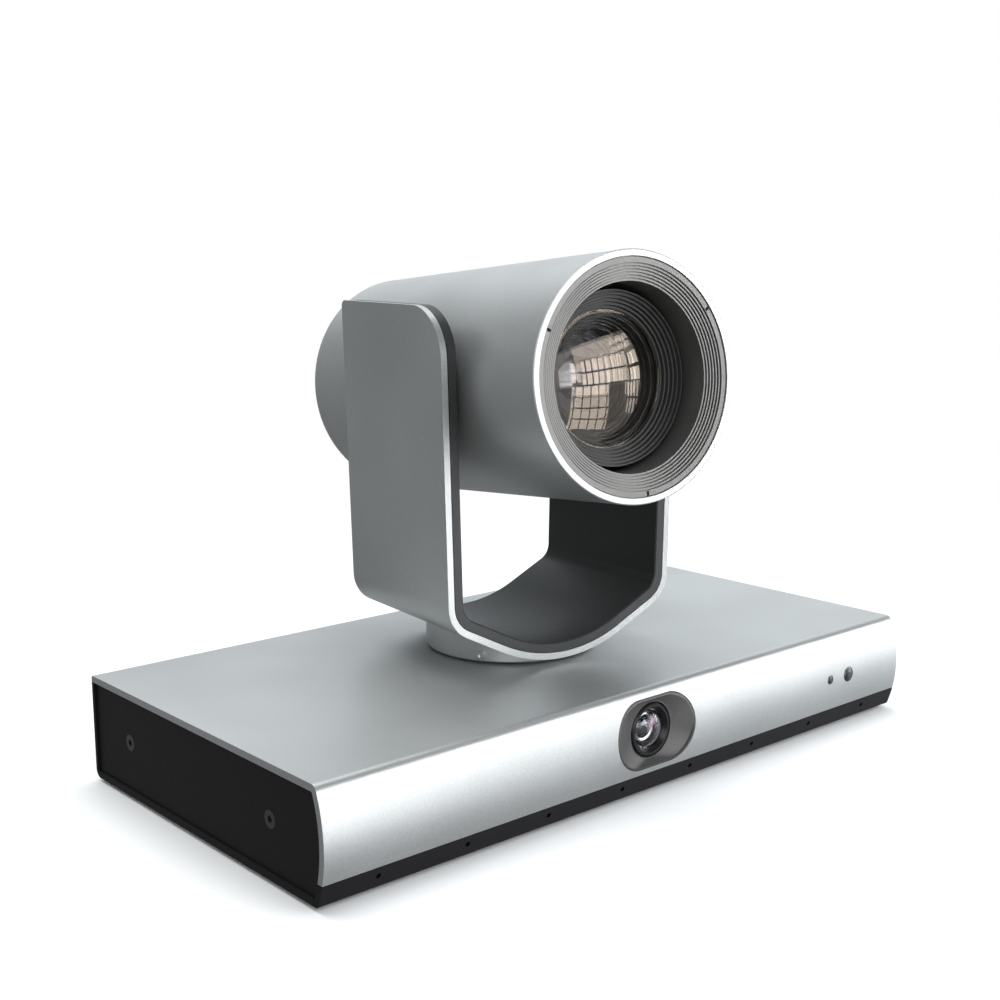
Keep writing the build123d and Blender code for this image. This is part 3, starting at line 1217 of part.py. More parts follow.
front_lens = domed(
    HEAD_SECTION,
    HEAD_AXIS,
    FRONT_LENS_RADIUS - SCREW_GAP,
    LENS_BACK,
    LENS_SEAT - 0.4,
    LENS_SEAT - 0.4 + FRONT_LENS_BULGE,
)
save("front_lens", front_lens)

with BuildPart() as lens_block:
    with BuildSketch(HEAD.offset(BLOCK_BACK)):
        RectangleRounded(2 * BLOCK_HALF, 2 * BLOCK_HALF, 3)
    extrude(amount=CARRIER_BACK - BLOCK_BACK)
    with BuildSketch(HEAD.offset(BLOCK_BACK + BLOCK_WALL)):
        Circle(BLOCK_BORE)
    extrude(amount=CARRIER_BACK - BLOCK_BACK, mode=Mode.SUBTRACT)
    with BuildSketch(HEAD.offset(BLOCK_BACK)):
        Rectangle(9, 6)
    extrude(amount=BLOCK_WALL, mode=Mode.SUBTRACT)
    with BuildSketch(HEAD.offset(BLOCK_BACK + 1)):
        with Locations((0, ROD_REACH), (0, -ROD_REACH)):
            Circle(ROD_RADIUS + 0.01)
    extrude(amount=BLOCK_WALL, mode=Mode.SUBTRACT)
save("lens_block", lens_block)

with BuildPart() as guide_rods:
    with BuildSketch(HEAD.offset(BLOCK_BACK + 1)):
        with Locations((0, ROD_REACH), (0, -ROD_REACH)):
            Circle(ROD_RADIUS)
    extrude(amount=CARRIER_BACK - BLOCK_BACK - 2)
save("guide_rods", guide_rods)


def lens_cell(back, front, glass_radius):
    """A lens group in its round carrier, with holes for the two guide rods."""
    with BuildPart() as piece:
        with BuildSketch(HEAD.offset(back)):
            Circle(CELL_RADIUS)
            with Locations((0, ROD_REACH), (0, -ROD_REACH)):
                Circle(ROD_RADIUS + RUNNING_GAP, mode=Mode.SUBTRACT)
        extrude(amount=front - back)
        with BuildSketch(HEAD.offset(front)):
            Circle(glass_radius + 1.5)
            Circle(glass_radius, mode=Mode.SUBTRACT)
        extrude(amount=-1.5)
        with BuildSketch(HEAD.offset(front)):
            Circle(glass_radius)
        extrude(amount=-1.2, mode=Mode.SUBTRACT)
    return piece


ZOOM_GLASS_RADIUS = CELL_RADIUS - 5.0
FOCUS_GLASS_RADIUS = CELL_RADIUS - 7.0
zoom_group = lens_cell(-6, 0, ZOOM_GLASS_RADIUS)
save("zoom_group", zoom_group)
focus_group = lens_cell(-22, -18, FOCUS_GLASS_RADIUS)
save("focus_group", focus_group)

with BuildPart() as image_sensor_board:
    with BuildSketch(HEAD.offset(BLOCK_BACK - BOARD_WALL)):
        RectangleRounded(2 * BLOCK_HALF - 6, 2 * BLOCK_HALF - 6, 1.5)
    extrude(amount=BOARD_WALL)
save("image_sensor_board", image_sensor_board)

# ---- head: chassis, tilt drive and board --------------------------------------------------
CHASSIS_HALF_HEIGHT = round(sqrt(TUBE_INSIDE**2 - CHASSIS_OUTSIDE**2) - 1.7, 1)
IDLER_DISTANCE = TILT_MODULE * (TILT_GEAR_TEETH + TILT_IDLER_TEETH) / 2
TILT_PINION_DISTANCE = IDLER_DISTANCE + TILT_MODULE * (TILT_IDLER_TEETH + TILT_PINION_TEETH) / 2
TILT_MOTOR_RADIUS = 9.0
TILT_MOTOR_LENGTH = 16.0
WEB_OUTSIDE = TILT_GEAR_INSIDE - 0.3
WEB_INSIDE = WEB_OUTSIDE - CHASSIS_WALL
WEB_HEIGHT = 2 * CHASSIS_HALF_HEIGHT - 5
BUSH_HOLE_RADIUS = TRUNNION_RADIUS + BUSH_WALL

with BuildPart() as head_chassis:
    with BuildSketch(HEAD.offset(CARRIER_BACK)):
        Circle(TUBE_INSIDE - FIT_GAP)
        Circle(LENS_RIM_RADIUS + SCREW_GAP, mode=Mode.SUBTRACT)
    extrude(amount=CARRIER_WALL)
    for plane in (TILT_LEFT, TILT_RIGHT):
        side = 1 if plane is TILT_LEFT else -1
        with BuildSketch(plane.offset(CHASSIS_INSIDE)):
            with Locations((side * (CARRIER_BACK - CHASSIS_BACK) / 2, 0)):
                Rectangle(CARRIER_BACK + CHASSIS_BACK, 2 * CHASSIS_HALF_HEIGHT)
        extrude(amount=CHASSIS_WALL)
        with BuildSketch(plane.offset(CHASSIS_INSIDE)):
            Circle(BUSH_HOLE_RADIUS + RUNNING_GAP / 2)
        extrude(amount=CHASSIS_WALL, mode=Mode.SUBTRACT)
    with BuildSketch(HEAD.offset(-CHASSIS_BACK)):
        Rectangle(2 * CHASSIS_OUTSIDE, 2 * CHASSIS_HALF_HEIGHT)
        with Locations(*CAP_SCREW_PLACES):
            Circle(SCREW_RADIUS + SCREW_GAP, mode=Mode.SUBTRACT)
    extrude(amount=CHASSIS_PLATE)
    # the inner web carries the motor
    with BuildSketch(TILT_LEFT.offset(WEB_INSIDE)):
        with Locations((-(CHASSIS_BACK - 1 + TILT_PINION_DISTANCE - TILT_MOTOR_RADIUS) / 2, 0)):
            Rectangle(CHASSIS_BACK - 1 - TILT_PINION_DISTANCE + TILT_MOTOR_RADIUS, WEB_HEIGHT)
        with Locations((-TILT_PINION_DISTANCE, 0)):
            Circle(SHAFT_RADIUS + 1.5, mode=Mode.SUBTRACT)
    extrude(amount=CHASSIS_WALL)
    # the pin that the idler turns on
    with BuildSketch(TILT_LEFT.offset(TILT_GEAR_INSIDE)):
        with Locations((-IDLER_DISTANCE, 0)):
            Circle(SHAFT_RADIUS)
    extrude(amount=CHASSIS_INSIDE - TILT_GEAR_INSIDE)
save("head_chassis", head_chassis)

with BuildPart() as tilt_bushes:
    for plane in (TILT_LEFT, TILT_RIGHT):
        with BuildSketch(plane.offset(CHASSIS_INSIDE)):
            Circle(BUSH_HOLE_RADIUS)
        extrude(amount=CHASSIS_WALL)
        with BuildSketch(plane.offset(CHASSIS_OUTSIDE)):
            Circle(BUSH_HOLE_RADIUS + BUSH_LIP)
        extrude(amount=TILT_BUSH_FLANGE)
        with BuildSketch(plane.offset(CHASSIS_INSIDE)):
            Circle(TRUNNION_RADIUS + RUNNING_GAP)
        extrude(amount=CHASSIS_WALL + TILT_BUSH_FLANGE, mode=Mode.SUBTRACT)
save("tilt_bushes", tilt_bushes)

idler_plane = Plane(
    origin=TILT_LEFT.offset(TILT_GEAR_INSIDE).origin - HEAD_FORWARD * IDLER_DISTANCE,
    x_dir=TILT_LEFT.x_dir,
    z_dir=TILT_LEFT.z_dir,
)
tilt_idler = gear(
    idler_plane,
    TILT_MODULE,
    TILT_IDLER_TEETH,
    180 / TILT_IDLER_TEETH,
    TILT_GEAR_WIDTH,
    SHAFT_RADIUS + RUNNING_GAP,
)
save("tilt_idler", tilt_idler)

tilt_pinion_plane = Plane(
    origin=TILT_LEFT.offset(TILT_GEAR_INSIDE).origin - HEAD_FORWARD * TILT_PINION_DISTANCE,
    x_dir=TILT_LEFT.x_dir,
    z_dir=TILT_LEFT.z_dir,
)
tilt_pinion_teeth = gear(
    tilt_pinion_plane, TILT_MODULE, TILT_PINION_TEETH, 0, TILT_GEAR_WIDTH, SHAFT_RADIUS / 2
)
# the small pinion is cut on the end of the motor's shaft
with BuildPart() as tilt_pinion:
    add(tilt_pinion_teeth.part)
    shaft_start = WEB_INSIDE - SHAFT_DEPTH + 0.3
    with BuildSketch(tilt_pinion_plane.offset(shaft_start - TILT_GEAR_INSIDE)):
        Circle(SHAFT_RADIUS)
    extrude(amount=TILT_GEAR_INSIDE + TILT_GEAR_WIDTH - shaft_start)
save("tilt_pinion", tilt_pinion)

with BuildPart() as tilt_motor:
    with BuildSketch(tilt_pinion_plane.offset(WEB_INSIDE - TILT_GEAR_INSIDE)):
        Circle(TILT_MOTOR_RADIUS)
    extrude(amount=-TILT_MOTOR_LENGTH)
    with BuildSketch(tilt_pinion_plane.offset(WEB_INSIDE - TILT_GEAR_INSIDE)):
        Circle(SHAFT_RADIUS + RUNNING_GAP)
    extrude(amount=-SHAFT_DEPTH, mode=Mode.SUBTRACT)
save("tilt_motor", tilt_motor)

HEAD_BOARD_FRONT = CHASSIS_BACK - CHASSIS_PLATE - BOARD_WALL
HEAD_BOARD_SIZE = (2 * CHASSIS_INSIDE - 11, 2 * CHASSIS_HALF_HEIGHT - 3)
# the board stands clear of the motor's web
HEAD_BOARD_SHIFT = 3.0
with BuildPart() as head_board:
    with BuildSketch(HEAD.offset(-HEAD_BOARD_FRONT - BOARD_WALL)):
        with Locations((HEAD_BOARD_SHIFT, 0)):
            Rectangle(*HEAD_BOARD_SIZE)
    extrude(amount=BOARD_WALL)
save("head_board", head_board)
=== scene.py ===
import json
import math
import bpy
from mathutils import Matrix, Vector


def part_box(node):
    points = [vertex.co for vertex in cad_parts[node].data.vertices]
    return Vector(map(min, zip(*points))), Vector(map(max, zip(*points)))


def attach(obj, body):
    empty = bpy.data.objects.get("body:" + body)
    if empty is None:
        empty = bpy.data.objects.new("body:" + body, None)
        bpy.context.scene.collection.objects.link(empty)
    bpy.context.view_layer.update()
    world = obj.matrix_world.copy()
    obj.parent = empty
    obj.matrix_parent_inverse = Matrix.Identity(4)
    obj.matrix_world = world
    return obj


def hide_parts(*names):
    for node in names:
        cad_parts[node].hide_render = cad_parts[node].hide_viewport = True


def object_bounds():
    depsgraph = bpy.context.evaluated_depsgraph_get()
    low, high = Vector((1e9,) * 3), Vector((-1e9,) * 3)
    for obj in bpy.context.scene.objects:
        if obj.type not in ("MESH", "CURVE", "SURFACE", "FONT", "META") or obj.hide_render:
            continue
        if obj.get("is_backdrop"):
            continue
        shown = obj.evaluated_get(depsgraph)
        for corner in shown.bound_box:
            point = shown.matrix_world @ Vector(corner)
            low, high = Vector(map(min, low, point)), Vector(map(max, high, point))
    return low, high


bl_info = {
    "name": "Two-Lens Camera Looks",
    "version": (1, 0, 0),
    "blender": (4, 5, 0),
    "location": "View3D > Sidebar > Camera",
    "description": "Finishes, lenses, screws and sockets for a two-lens pan-tilt-zoom camera",
    "category": "Object",
}

import bmesh
import bpy
from bpy.props import FloatProperty, FloatVectorProperty, IntProperty, PointerProperty
from mathutils import Matrix, Vector

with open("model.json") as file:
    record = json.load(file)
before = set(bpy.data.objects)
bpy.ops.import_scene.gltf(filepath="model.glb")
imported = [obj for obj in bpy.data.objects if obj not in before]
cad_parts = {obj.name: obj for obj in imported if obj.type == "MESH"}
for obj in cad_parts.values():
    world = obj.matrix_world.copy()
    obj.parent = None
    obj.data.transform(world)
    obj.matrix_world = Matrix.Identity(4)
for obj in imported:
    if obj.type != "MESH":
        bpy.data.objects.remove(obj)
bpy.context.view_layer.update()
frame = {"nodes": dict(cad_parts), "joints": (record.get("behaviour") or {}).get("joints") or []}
NODES = frame["nodes"]
JOINTS = {joint["name"]: joint for joint in frame["joints"]}
MM = 0.001

# the head's own frame: x across, y up and z forwards, with its origin on the tilt axis
TILT_CENTRE = Vector(JOINTS["tilt"]["pos_m"])
ACROSS = -Vector(JOINTS["tilt"]["axis"])
FORWARD = Vector(JOINTS["zoom"]["axis"])
HEAD_UP = FORWARD.cross(ACROSS)
HEAD = Matrix.Translation(TILT_CENTRE) @ Matrix((ACROSS, HEAD_UP, FORWARD)).transposed().to_4x4()
# a turned shape's frame with z towards the front of the base
FRONTWARD = Matrix.Rotation(math.radians(90), 4, "X")

BOARD_GREEN = (0.008, 0.09, 0.03)
GOLD_PAD = (0.62, 0.5, 0.2)
DUST_START = 0.66  # the noise value at which dust begins to show on glass
SPECK_SIZE = 0.6 * MM

# the zoom lens, in millimetres
RIM_HEIGHT = 2.6  # from the front element's back to the edge of its face
RIM_WALL = 0.7  # between the front element's edge and its hollow
RING_GAP = 0.2  # between the front element and the ring behind it
RING_STEP = (0.75, 0.8)  # the ring's tread and rise
RING_WALL = 2.0
RING_LIP = 0.4  # how far the ring's lip holds the second element
LIP_DEPTH = 0.6
SECOND_DEPTH = 3.4  # from the ring's floor to its tail
SECOND_CLEAR = 0.05
CONE_STEP = (0.9, 0.85)
CONE_FLOOR = 3.0  # from the iris opening to the last tread of the cone
CONE_DEPTH = 2.2
LEAF_THICKNESS = 0.12
LEAF_TILT = math.radians(2.5)
REAR_DEPTH = 5.0

# the base's wide lens, in millimetres
WIDE_RIM_HEIGHT = 3.5
WIDE_WALL = 0.7
WIDE_STEP = (0.3, 0.35)
WIDE_SEAT = 1.6  # how far the seat reaches in from the edge
RETAINER_OUTSIDE = 4.3
RETAINER_INSIDE = 3.3

# the contacts of the rear sockets
NETWORK_WIRES = 8
NETWORK_PITCH = 1.02 * MM
NETWORK_WIRE = Vector((0.22, 4.4, 0.25)) * MM  # half width, half length and thickness
NETWORK_LEAN = math.radians(-22)
HDMI_STRIPS = 19
HDMI_PITCH = 0.5 * MM


def spread(node, direction, origin=Vector((0, 0, 0))):
    """The lowest and highest place of a CAD node along a direction, from an origin."""
    places = [(vertex.co - origin).dot(direction) for vertex in NODES[node].data.vertices]
    return min(places), max(places)


def towards(turn, rise):
    """The direction at an angle across from the front and an angle above the horizon."""
    level = math.cos(rise)
    return Vector((math.sin(turn) * level, -math.cos(turn) * level, math.sin(rise)))


def middle(node):
    """The centre of a CAD node's box."""
    low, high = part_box(node)
    return (Vector(low) + Vector(high)) / 2


# ---- settings ----------------------------------------------------------------------------
class CameraFinishSettings(bpy.types.PropertyGroup):
    silver: FloatVectorProperty(
        name="Silver",
        description="Colour of the satin metal shells",
        subtype="COLOR",
        default=(0.49, 0.505, 0.505),
        min=0,
        max=1,
    )
    black: FloatVectorProperty(
        name="Black",
        description="Colour of the textured black panels",
        subtype="COLOR",
        default=(0.006, 0.0055, 0.0065),
        min=0,
        max=1,
    )
    liner: FloatVectorProperty(
        name="Liner",
        description="Colour of the yoke's inner liner",
        subtype="COLOR",
        default=(0.03, 0.032, 0.032),
        min=0,
        max=1,
    )
    hood: FloatVectorProperty(
        name="Hood",
        description="Colour of the lens hood",
        subtype="COLOR",
        default=(0.17, 0.168, 0.162),
        min=0,
        max=1,
    )
    funnel: FloatVectorProperty(
        name="Funnel",
        description="Colour of the panorama window's funnel",
        subtype="COLOR",
        default=(0.085, 0.083, 0.083),
        min=0,
        max=1,
    )
    grain: FloatProperty(
        name="Grain",
        description="Size of the blasted grain on the metal",
        subtype="DISTANCE",
        default=0.45 * MM,
        min=0.05 * MM,
    )
    turned_marks: FloatProperty(
        name="Turned marks",
        description="Pitch of the fine rings that a lathe leaves",
        subtype="DISTANCE",
        default=0.12 * MM,
        min=0.02 * MM,
    )


class CameraLensSettings(bpy.types.PropertyGroup):
    glass_edge: FloatProperty(
        name="Glass edge",
        description="Thickness of the front element at its edge",
        subtype="DISTANCE",
        default=1.6 * MM,
        min=0.5 * MM,
        max=2.4 * MM,
    )
    second_radius: FloatProperty(
        name="Second element radius",
        description="Radius of the element behind the front one",
        subtype="DISTANCE",
        default=15.0 * MM,
        min=5 * MM,
        max=17 * MM,
    )
    iris_radius: FloatProperty(
        name="Iris opening",
        description="Radius of the opening in the middle of the iris",
        subtype="DISTANCE",
        default=6.5 * MM,
        min=1 * MM,
        max=12 * MM,
    )
    iris_blades: IntProperty(
        name="Iris blades",
        description="Number of blades that close the iris",
        default=7,
        min=5,
        max=12,
    )
    coating: FloatVectorProperty(
        name="Coating",
        description="Colour that the coated glass gives what it reflects",
        subtype="COLOR",
        default=(1.0, 0.84, 0.68),
        min=0,
        max=1,
    )
    inner_coating: FloatVectorProperty(
        name="Inner coating",
        description="Colour that the second element gives what it reflects",
        subtype="COLOR",
        default=(0.45, 0.5, 1.0),
        min=0,
        max=1,
    )
    turn_steps: IntProperty(
        name="Steps round",
        description="Flat steps round a turned piece",
        default=96,
        min=24,
        max=256,
    )


class CameraStageSettings(bpy.types.PropertyGroup):
    camera_place: FloatVectorProperty(
        name="Camera place",
        description="Where the camera stands",
        subtype="TRANSLATION",
        default=(-0.30411, -0.33984, 0.16183),
    )
    azimuth: FloatProperty(
        name="Azimuth",
        description="Turn of the view round the vertical, from the front",
        subtype="ANGLE",
        default=math.radians(-41.077),
    )
    elevation: FloatProperty(
        name="Elevation",
        description="Height of the view above the horizon",
        subtype="ANGLE",
        default=math.radians(10.237),
    )
    roll: FloatProperty(
        name="Roll",
        description="Turn of the camera about its own line of sight",
        subtype="ANGLE",
        default=math.radians(-0.203),
    )
    lens: FloatProperty(
        name="Focal length",
        description="Focal length on a 36 mm wide sensor, in millimetres",
        default=52.14,
        min=10,
    )
    card_distance: FloatProperty(
        name="Card distance",
        description="How far the bright cards stand from the camera's head",
        subtype="DISTANCE",
        default=1.1,
        min=0.4,
    )
    card_light: FloatProperty(
        name="Card light",
        description="Strength of the cards' light",
        default=6.5,
        min=0,
    )
    top_light: FloatProperty(
        name="Top light",
        description="Power of the lamp overhead, in watts",
        default=12.5,
        min=0,
    )
    key_light: FloatProperty(
        name="Key light",
        description="Power of the lamp at the front right, in watts",
        default=5.0,
        min=0,
    )
    fill_light: FloatProperty(
        name="Fill light",
        description="Power of the lamp at the front left, in watts",
        default=5.0,
        min=0,
    )
    floor_size: FloatProperty(
        name="Floor size",
        description="Length of the floor's sides",
        subtype="DISTANCE",
        default=12.0,
        min=1,
    )


# ---- materials ---------------------------------------------------------------------------
class Finish:
    """A material that is built up round one Principled shader."""

    def __init__(self, name, colour, metallic=0.0, roughness=0.5, **sockets):
        self.material = bpy.data.materials.new(name)
        self.material.use_nodes = True
        self.tree = self.material.node_tree
        self.shader = self.tree.nodes["Principled BSDF"]
        self.colour = tuple(colour)[:3]
        self.shader.inputs["Base Color"].default_value = (*self.colour, 1)
        self.shader.inputs["Metallic"].default_value = metallic
        self.shader.inputs["Roughness"].default_value = roughness
        for socket, value in sockets.items():
            self.shader.inputs[socket.replace("_", " ")].default_value = value

    def node(self, kind, inputs=None, **settings):
        """Adds a node; a number or colour is set on its socket, and an output is linked to it."""
        made = self.tree.nodes.new("ShaderNode" + kind)
        for key, value in settings.items():
            setattr(made, key, value)
        for socket, value in (inputs or {}).items():
            if isinstance(value, bpy.types.NodeSocket):
                self.tree.links.new(value, made.inputs[socket])
            else:
                made.inputs[socket].default_value = value
        return made

    def place(self, centre=(0, 0, 0), turn=(0, 0, 0), stretch=(1, 1, 1)):
        """Object coordinates, taken from a centre, turned and stretched."""
        source = self.node("TexCoord").outputs["Object"]
        values = {"Vector": source, "Location": centre, "Rotation": turn, "Scale": stretch}
        return self.node("Mapping", values, vector_type="TEXTURE").outputs["Vector"]

    def head_place(self, stretch=(1, 1, 1)):
        return self.place(TILT_CENTRE, HEAD.to_euler(), stretch)

    def noise(self, place, size, detail=2.0, rough=0.5):
        values = {"Vector": place, "Scale": 1 / size, "Detail": detail, "Roughness": rough}
        return self.node("TexNoise", values).outputs["Fac"]

    def spread(self, value, low, high, start=0.3, end=0.7):
        """Stretches the middle of a pattern to run from low to high."""
        values = {"Value": value, "From Min": start, "From Max": end, "To Min": low, "To Max": high}
        return self.node("MapRange", values).outputs["Result"]

    def sum(self, first, second, share=1.0):
        values = {0: second, 1: share, 2: first}
        return self.node("Math", values, operation="MULTIPLY_ADD").outputs["Value"]

    def radius(self, place):
        """Distance from the z axis of a place."""
        flat = self.node("VectorMath", {0: place, 1: (1, 1, 0)}, operation="MULTIPLY")
        return self.node("VectorMath", {0: flat.outputs[0]}, operation="LENGTH").outputs["Value"]

    def rings(self, place, pitch):
        """Uneven fine rings round the z axis of a place."""
        along = self.node("SeparateXYZ", {0: place}).outputs["Z"]
        across = self.sum(self.radius(place), along)
        values = {"W": across, "Scale": 1 / pitch, "Detail": 2.0, "Roughness": 0.6}
        return self.node("TexNoise", values, noise_dimensions="1D").outputs["Fac"]

    def paint(self, factor, first, second):
        """Colours the surface between two colours, and returns the colour."""
        mixed = self.node("Mix", {"Factor": factor}, data_type="RGBA")
        for socket, colour in (("A", first), ("B", second)):
            sockets = [item for item in mixed.inputs if item.type == "RGBA"]
            target = [item for item in sockets if item.name == socket][0]
            if isinstance(colour, bpy.types.NodeSocket):
                self.tree.links.new(colour, target)
            else:
                target.default_value = (*colour, 1)
        output = [item for item in mixed.outputs if item.type == "RGBA"][0]
        self.tree.links.new(output, self.shader.inputs["Base Color"])
        return output

    def shade(self, amount):
        """The finish's own colour, darker or lighter."""
        return tuple(min(1.0, part * amount) for part in self.colour)

    def rough(self, value):
        self.tree.links.new(value, self.shader.inputs["Roughness"])

    def bump(self, height, depth, strength=1.0):
        values = {"Height": height, "Distance": depth, "Strength": strength}
        made = self.node("Bump", values)
        self.tree.links.new(made.outputs["Normal"], self.shader.inputs["Normal"])


def grained(name, colour, metallic, low, high, size, depth, contrast=0.12, drift=0.04, **sockets):
    """A fine even grain in colour, roughness and height, over a slow change of tone."""
    made = Finish(name, colour, metallic, (low + high) / 2, **sockets)
    place = made.place()
    grain = made.noise(place, size, 3.0, 0.6)
    slow = made.noise(place, 0.05, 1.0)
    tone = made.sum(made.spread(grain, 0, 1), made.spread(slow, -1, 1), drift / contrast)
    made.paint(tone, made.shade(1 - contrast), made.shade(1 + contrast))
    made.rough(made.spread(grain, low, high))
    made.bump(grain, depth)
    return made


def turned_finish(name, colour, metallic, low, high, pitch, depth, place=None, **sockets):
    """Fine lathe marks in colour, roughness and height, round an axis."""
    made = Finish(name, colour, metallic, (low + high) / 2, **sockets)
    where = place(made) if place else made.head_place()
    marks = made.rings(where, pitch)
    specks = made.noise(made.place(), SPECK_SIZE, 2.0)
    tone = made.spread(made.sum(marks, specks, 0.4), 0, 1, 0.4, 1.0)
    made.paint(tone, made.shade(0.82), made.shade(1.16))
    made.rough(made.spread(marks, low, high))
    made.bump(marks, depth)
    return made


def brushed(name, colour, low, high, stretch, metallic=1.0):
    """Drawn or brushed metal, with its streaks along one direction."""
    made = Finish(name, colour, metallic, (low + high) / 2)
    streaks = made.noise(made.place(stretch=stretch), 0.0004, 3.0, 0.7)
    clouds = made.noise(made.place(), 0.006, 2.0)
    tone = made.spread(made.sum(streaks, clouds, 0.5), 0, 1, 0.45, 1.05)
    made.paint(tone, made.shade(0.8), made.shade(1.12))
    made.rough(made.spread(streaks, low, high))
    made.bump(streaks, 0.01 * MM)
    return made


def circuit(name, colour, centre, turn):
    """A coated board: copper runs under the coating and bare pads through it."""
    made = Finish(name, colour, 0.0, 0.4, Coat_Weight=0.6, Coat_Roughness=0.15)
    place = made.place(centre, turn)
    runs = made.node(
        "TexBrick",
        {
            "Vector": place,
            "Scale": 1.0,
            "Mortar Size": 0.00018,
            "Mortar Smooth": 0.1,
            "Brick Width": 0.0061,
            "Row Height": 0.0017,
        },
    ).outputs["Fac"]
    spots = made.node("TexVoronoi", {"Vector": place, "Scale": 1 / 0.0042, "Randomness": 0.8})
    pads = made.spread(spots.outputs["Distance"], 1, 0, 0.14, 0.18)
    base = made.paint(runs, made.shade(0.85), made.shade(1.7))
    made.paint(pads, base, GOLD_PAD)
    made.rough(made.spread(made.noise(place, 0.002), 0.3, 0.5))
    made.bump(made.sum(runs, pads, 1.5), 0.03 * MM)
    return made


def clear_glass(name, tint, coating, ior=1.52, roughness=0.0):
    """Coated glass with a trace of dust on it."""
    made = Finish(name, tint, 0.0, roughness, Transmission_Weight=1.0, IOR=ior)
    made.shader.inputs["Specular Tint"].default_value = (*coating, 1)
    dust = made.noise(made.place(), 0.9 * MM, 4.0, 0.7)
    made.paint(made.spread(dust, 0, 1, DUST_START, 0.8), tint, made.shade(0.8))
    made.rough(made.spread(dust, roughness, roughness + 0.25, DUST_START, 0.82))
    return made


def dark_glass(name, colour, coating, roughness=0.03, coat_ior=1.9):
    """The mirror-like face of a coated element over a dark inside: on the smoked windows the dark is
    their own colour, on the lens elements it is painted shade for the unlit depth of the lens.
    """
    made = Finish(name, colour, 0.0, roughness, Coat_Weight=1.0, Coat_Roughness=0.02, Coat_IOR=coat_ior)
    for socket in ("Coat Tint", "Specular Tint"):
        made.shader.inputs[socket].default_value = (*coating, 1)
    smears = made.noise(made.place(), 0.004, 2.0)
    made.paint(made.spread(smears, 0, 1), made.shade(0.8), made.shade(1.4))
    made.rough(made.spread(smears, roughness, roughness + 0.04))
    return made


def dress(finish, *names):
    """Gives CAD nodes a finish."""
    for name in names:
        data = NODES[name].data
        data.materials.clear()
        data.materials.append(finish.material)


# ---- shapes ------------------------------------------------------------------------------
def make_piece(name, mesh, body, finish, sharp=30.0, replaces=()):
    """Turns a finished bmesh into a piece that rides on a body."""
    data = bpy.data.meshes.new(name)
    for face in mesh.faces:
        face.smooth = True
    mesh.to_mesh(data)
    mesh.free()
    data.set_sharp_from_angle(angle=math.radians(sharp))
    data.materials.append(finish.material)
    made = bpy.data.objects.new(name, data)
    bpy.context.scene.collection.objects.link(made)
    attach(made, body)
    if replaces:
        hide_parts(*replaces)
    return made


def turned(profile, steps, closed=True):
    """Spins an outline of (radius, height) in millimetres once round the z axis."""
    mesh = bmesh.new()
    points = [mesh.verts.new((radius * MM, 0, height * MM)) for radius, height in profile]
    pairs = list(zip(points, points[1:])) + ([(points[-1], points[0])] if closed else [])
    edges = [mesh.edges.new(pair) for pair in pairs]
    bmesh.ops.spin(
        mesh,
        geom=points + edges,
        cent=(0, 0, 0),
        axis=(0, 0, 1),
        angle=2 * math.pi,
        steps=steps,
        use_merge=True,
        use_duplicate=False,
    )
    bmesh.ops.remove_doubles(mesh, verts=mesh.verts, dist=0.0005 * MM)
    bmesh.ops.recalc_face_normals(mesh, faces=mesh.faces)
    return mesh


def make_turned(name, profile, place, steps, body, finish, replaces=()):
    """Turns an outline round the z axis of a place and makes it a piece."""
    mesh = turned(profile, steps)
    mesh.transform(place)
    return make_piece(name, mesh, body, finish, replaces=replaces)


def dome_points(radius, edge, top, count=14):
    """Points of a spherical face from its edge to its middle, in millimetres."""
    rise = top - edge
    sphere = (radius**2 + rise**2) / (2 * rise)
    points = []
    for step in range(count + 1):
        out = radius * (1 - step / count)
        points.append((out, top - sphere + math.copysign(math.sqrt(sphere**2 - out**2), sphere)))
    return points


def staircase(radius, height, last_radius, tread, rise):
    """Points of rings that step down towards the axis, in millimetres."""
    points = [(radius, height)]
    while radius - tread > last_radius:
        groove = radius - tread * 0.8
        points += [(radius, height - rise), (groove, height - rise)]
        points += [(groove, height - rise * 0.75), (radius - tread, height - rise * 0.75)]
        radius -= tread
        height -= rise
    return points + [(last_radius, points[-1][1])]


def reach(node, place):
    """Radius of a turned CAD node round the z axis of a place."""
    back = place.inverted()
    return max((back @ vertex.co).to_2d().length for vertex in NODES[node].data.vertices)


def iris(opening, outside, height, count):
    """Thin leaves that overlap round an opening, in millimetres."""
    mesh = bmesh.new()
    size = (outside + opening) / 2 * MM
    shift = (outside - opening) / 2 * MM
    for number in range(count):
        leaf = bmesh.new()
        bmesh.ops.create_circle(leaf, cap_ends=True, segments=32, radius=size)
        bmesh.ops.translate(leaf, vec=(shift, 0, 0), verts=leaf.verts)
        turn = Matrix.Rotation(2 * math.pi * number / count, 4, "Z")
        tilt = Matrix.Rotation(LEAF_TILT, 4, "Y")
        cutter = Vector((math.cos(0.5), math.sin(0.5), 0))
        bmesh.ops.bisect_plane(
            leaf,
            geom=leaf.verts[:] + leaf.edges[:] + leaf.faces[:],
            plane_co=cutter * opening * MM,
            plane_no=cutter,
            clear_inner=True,
        )
        grown = bmesh.ops.extrude_face_region(leaf, geom=leaf.faces[:])["geom"]
        raised = [item for item in grown if isinstance(item, bmesh.types.BMVert)]
        bmesh.ops.translate(leaf, vec=(0, 0, LEAF_THICKNESS * MM), verts=raised)
        bmesh.ops.recalc_face_normals(leaf, faces=leaf.faces)
        leaf.transform(Matrix.Translation((0, 0, height * MM)) @ turn @ tilt)
        join(mesh, leaf)
    return mesh


def join(mesh, other):
    """Adds one bmesh to another."""
    data = bpy.data.meshes.new("joining")
    other.to_mesh(data)
    other.free()
    mesh.from_mesh(data)
    bpy.data.meshes.remove(data)


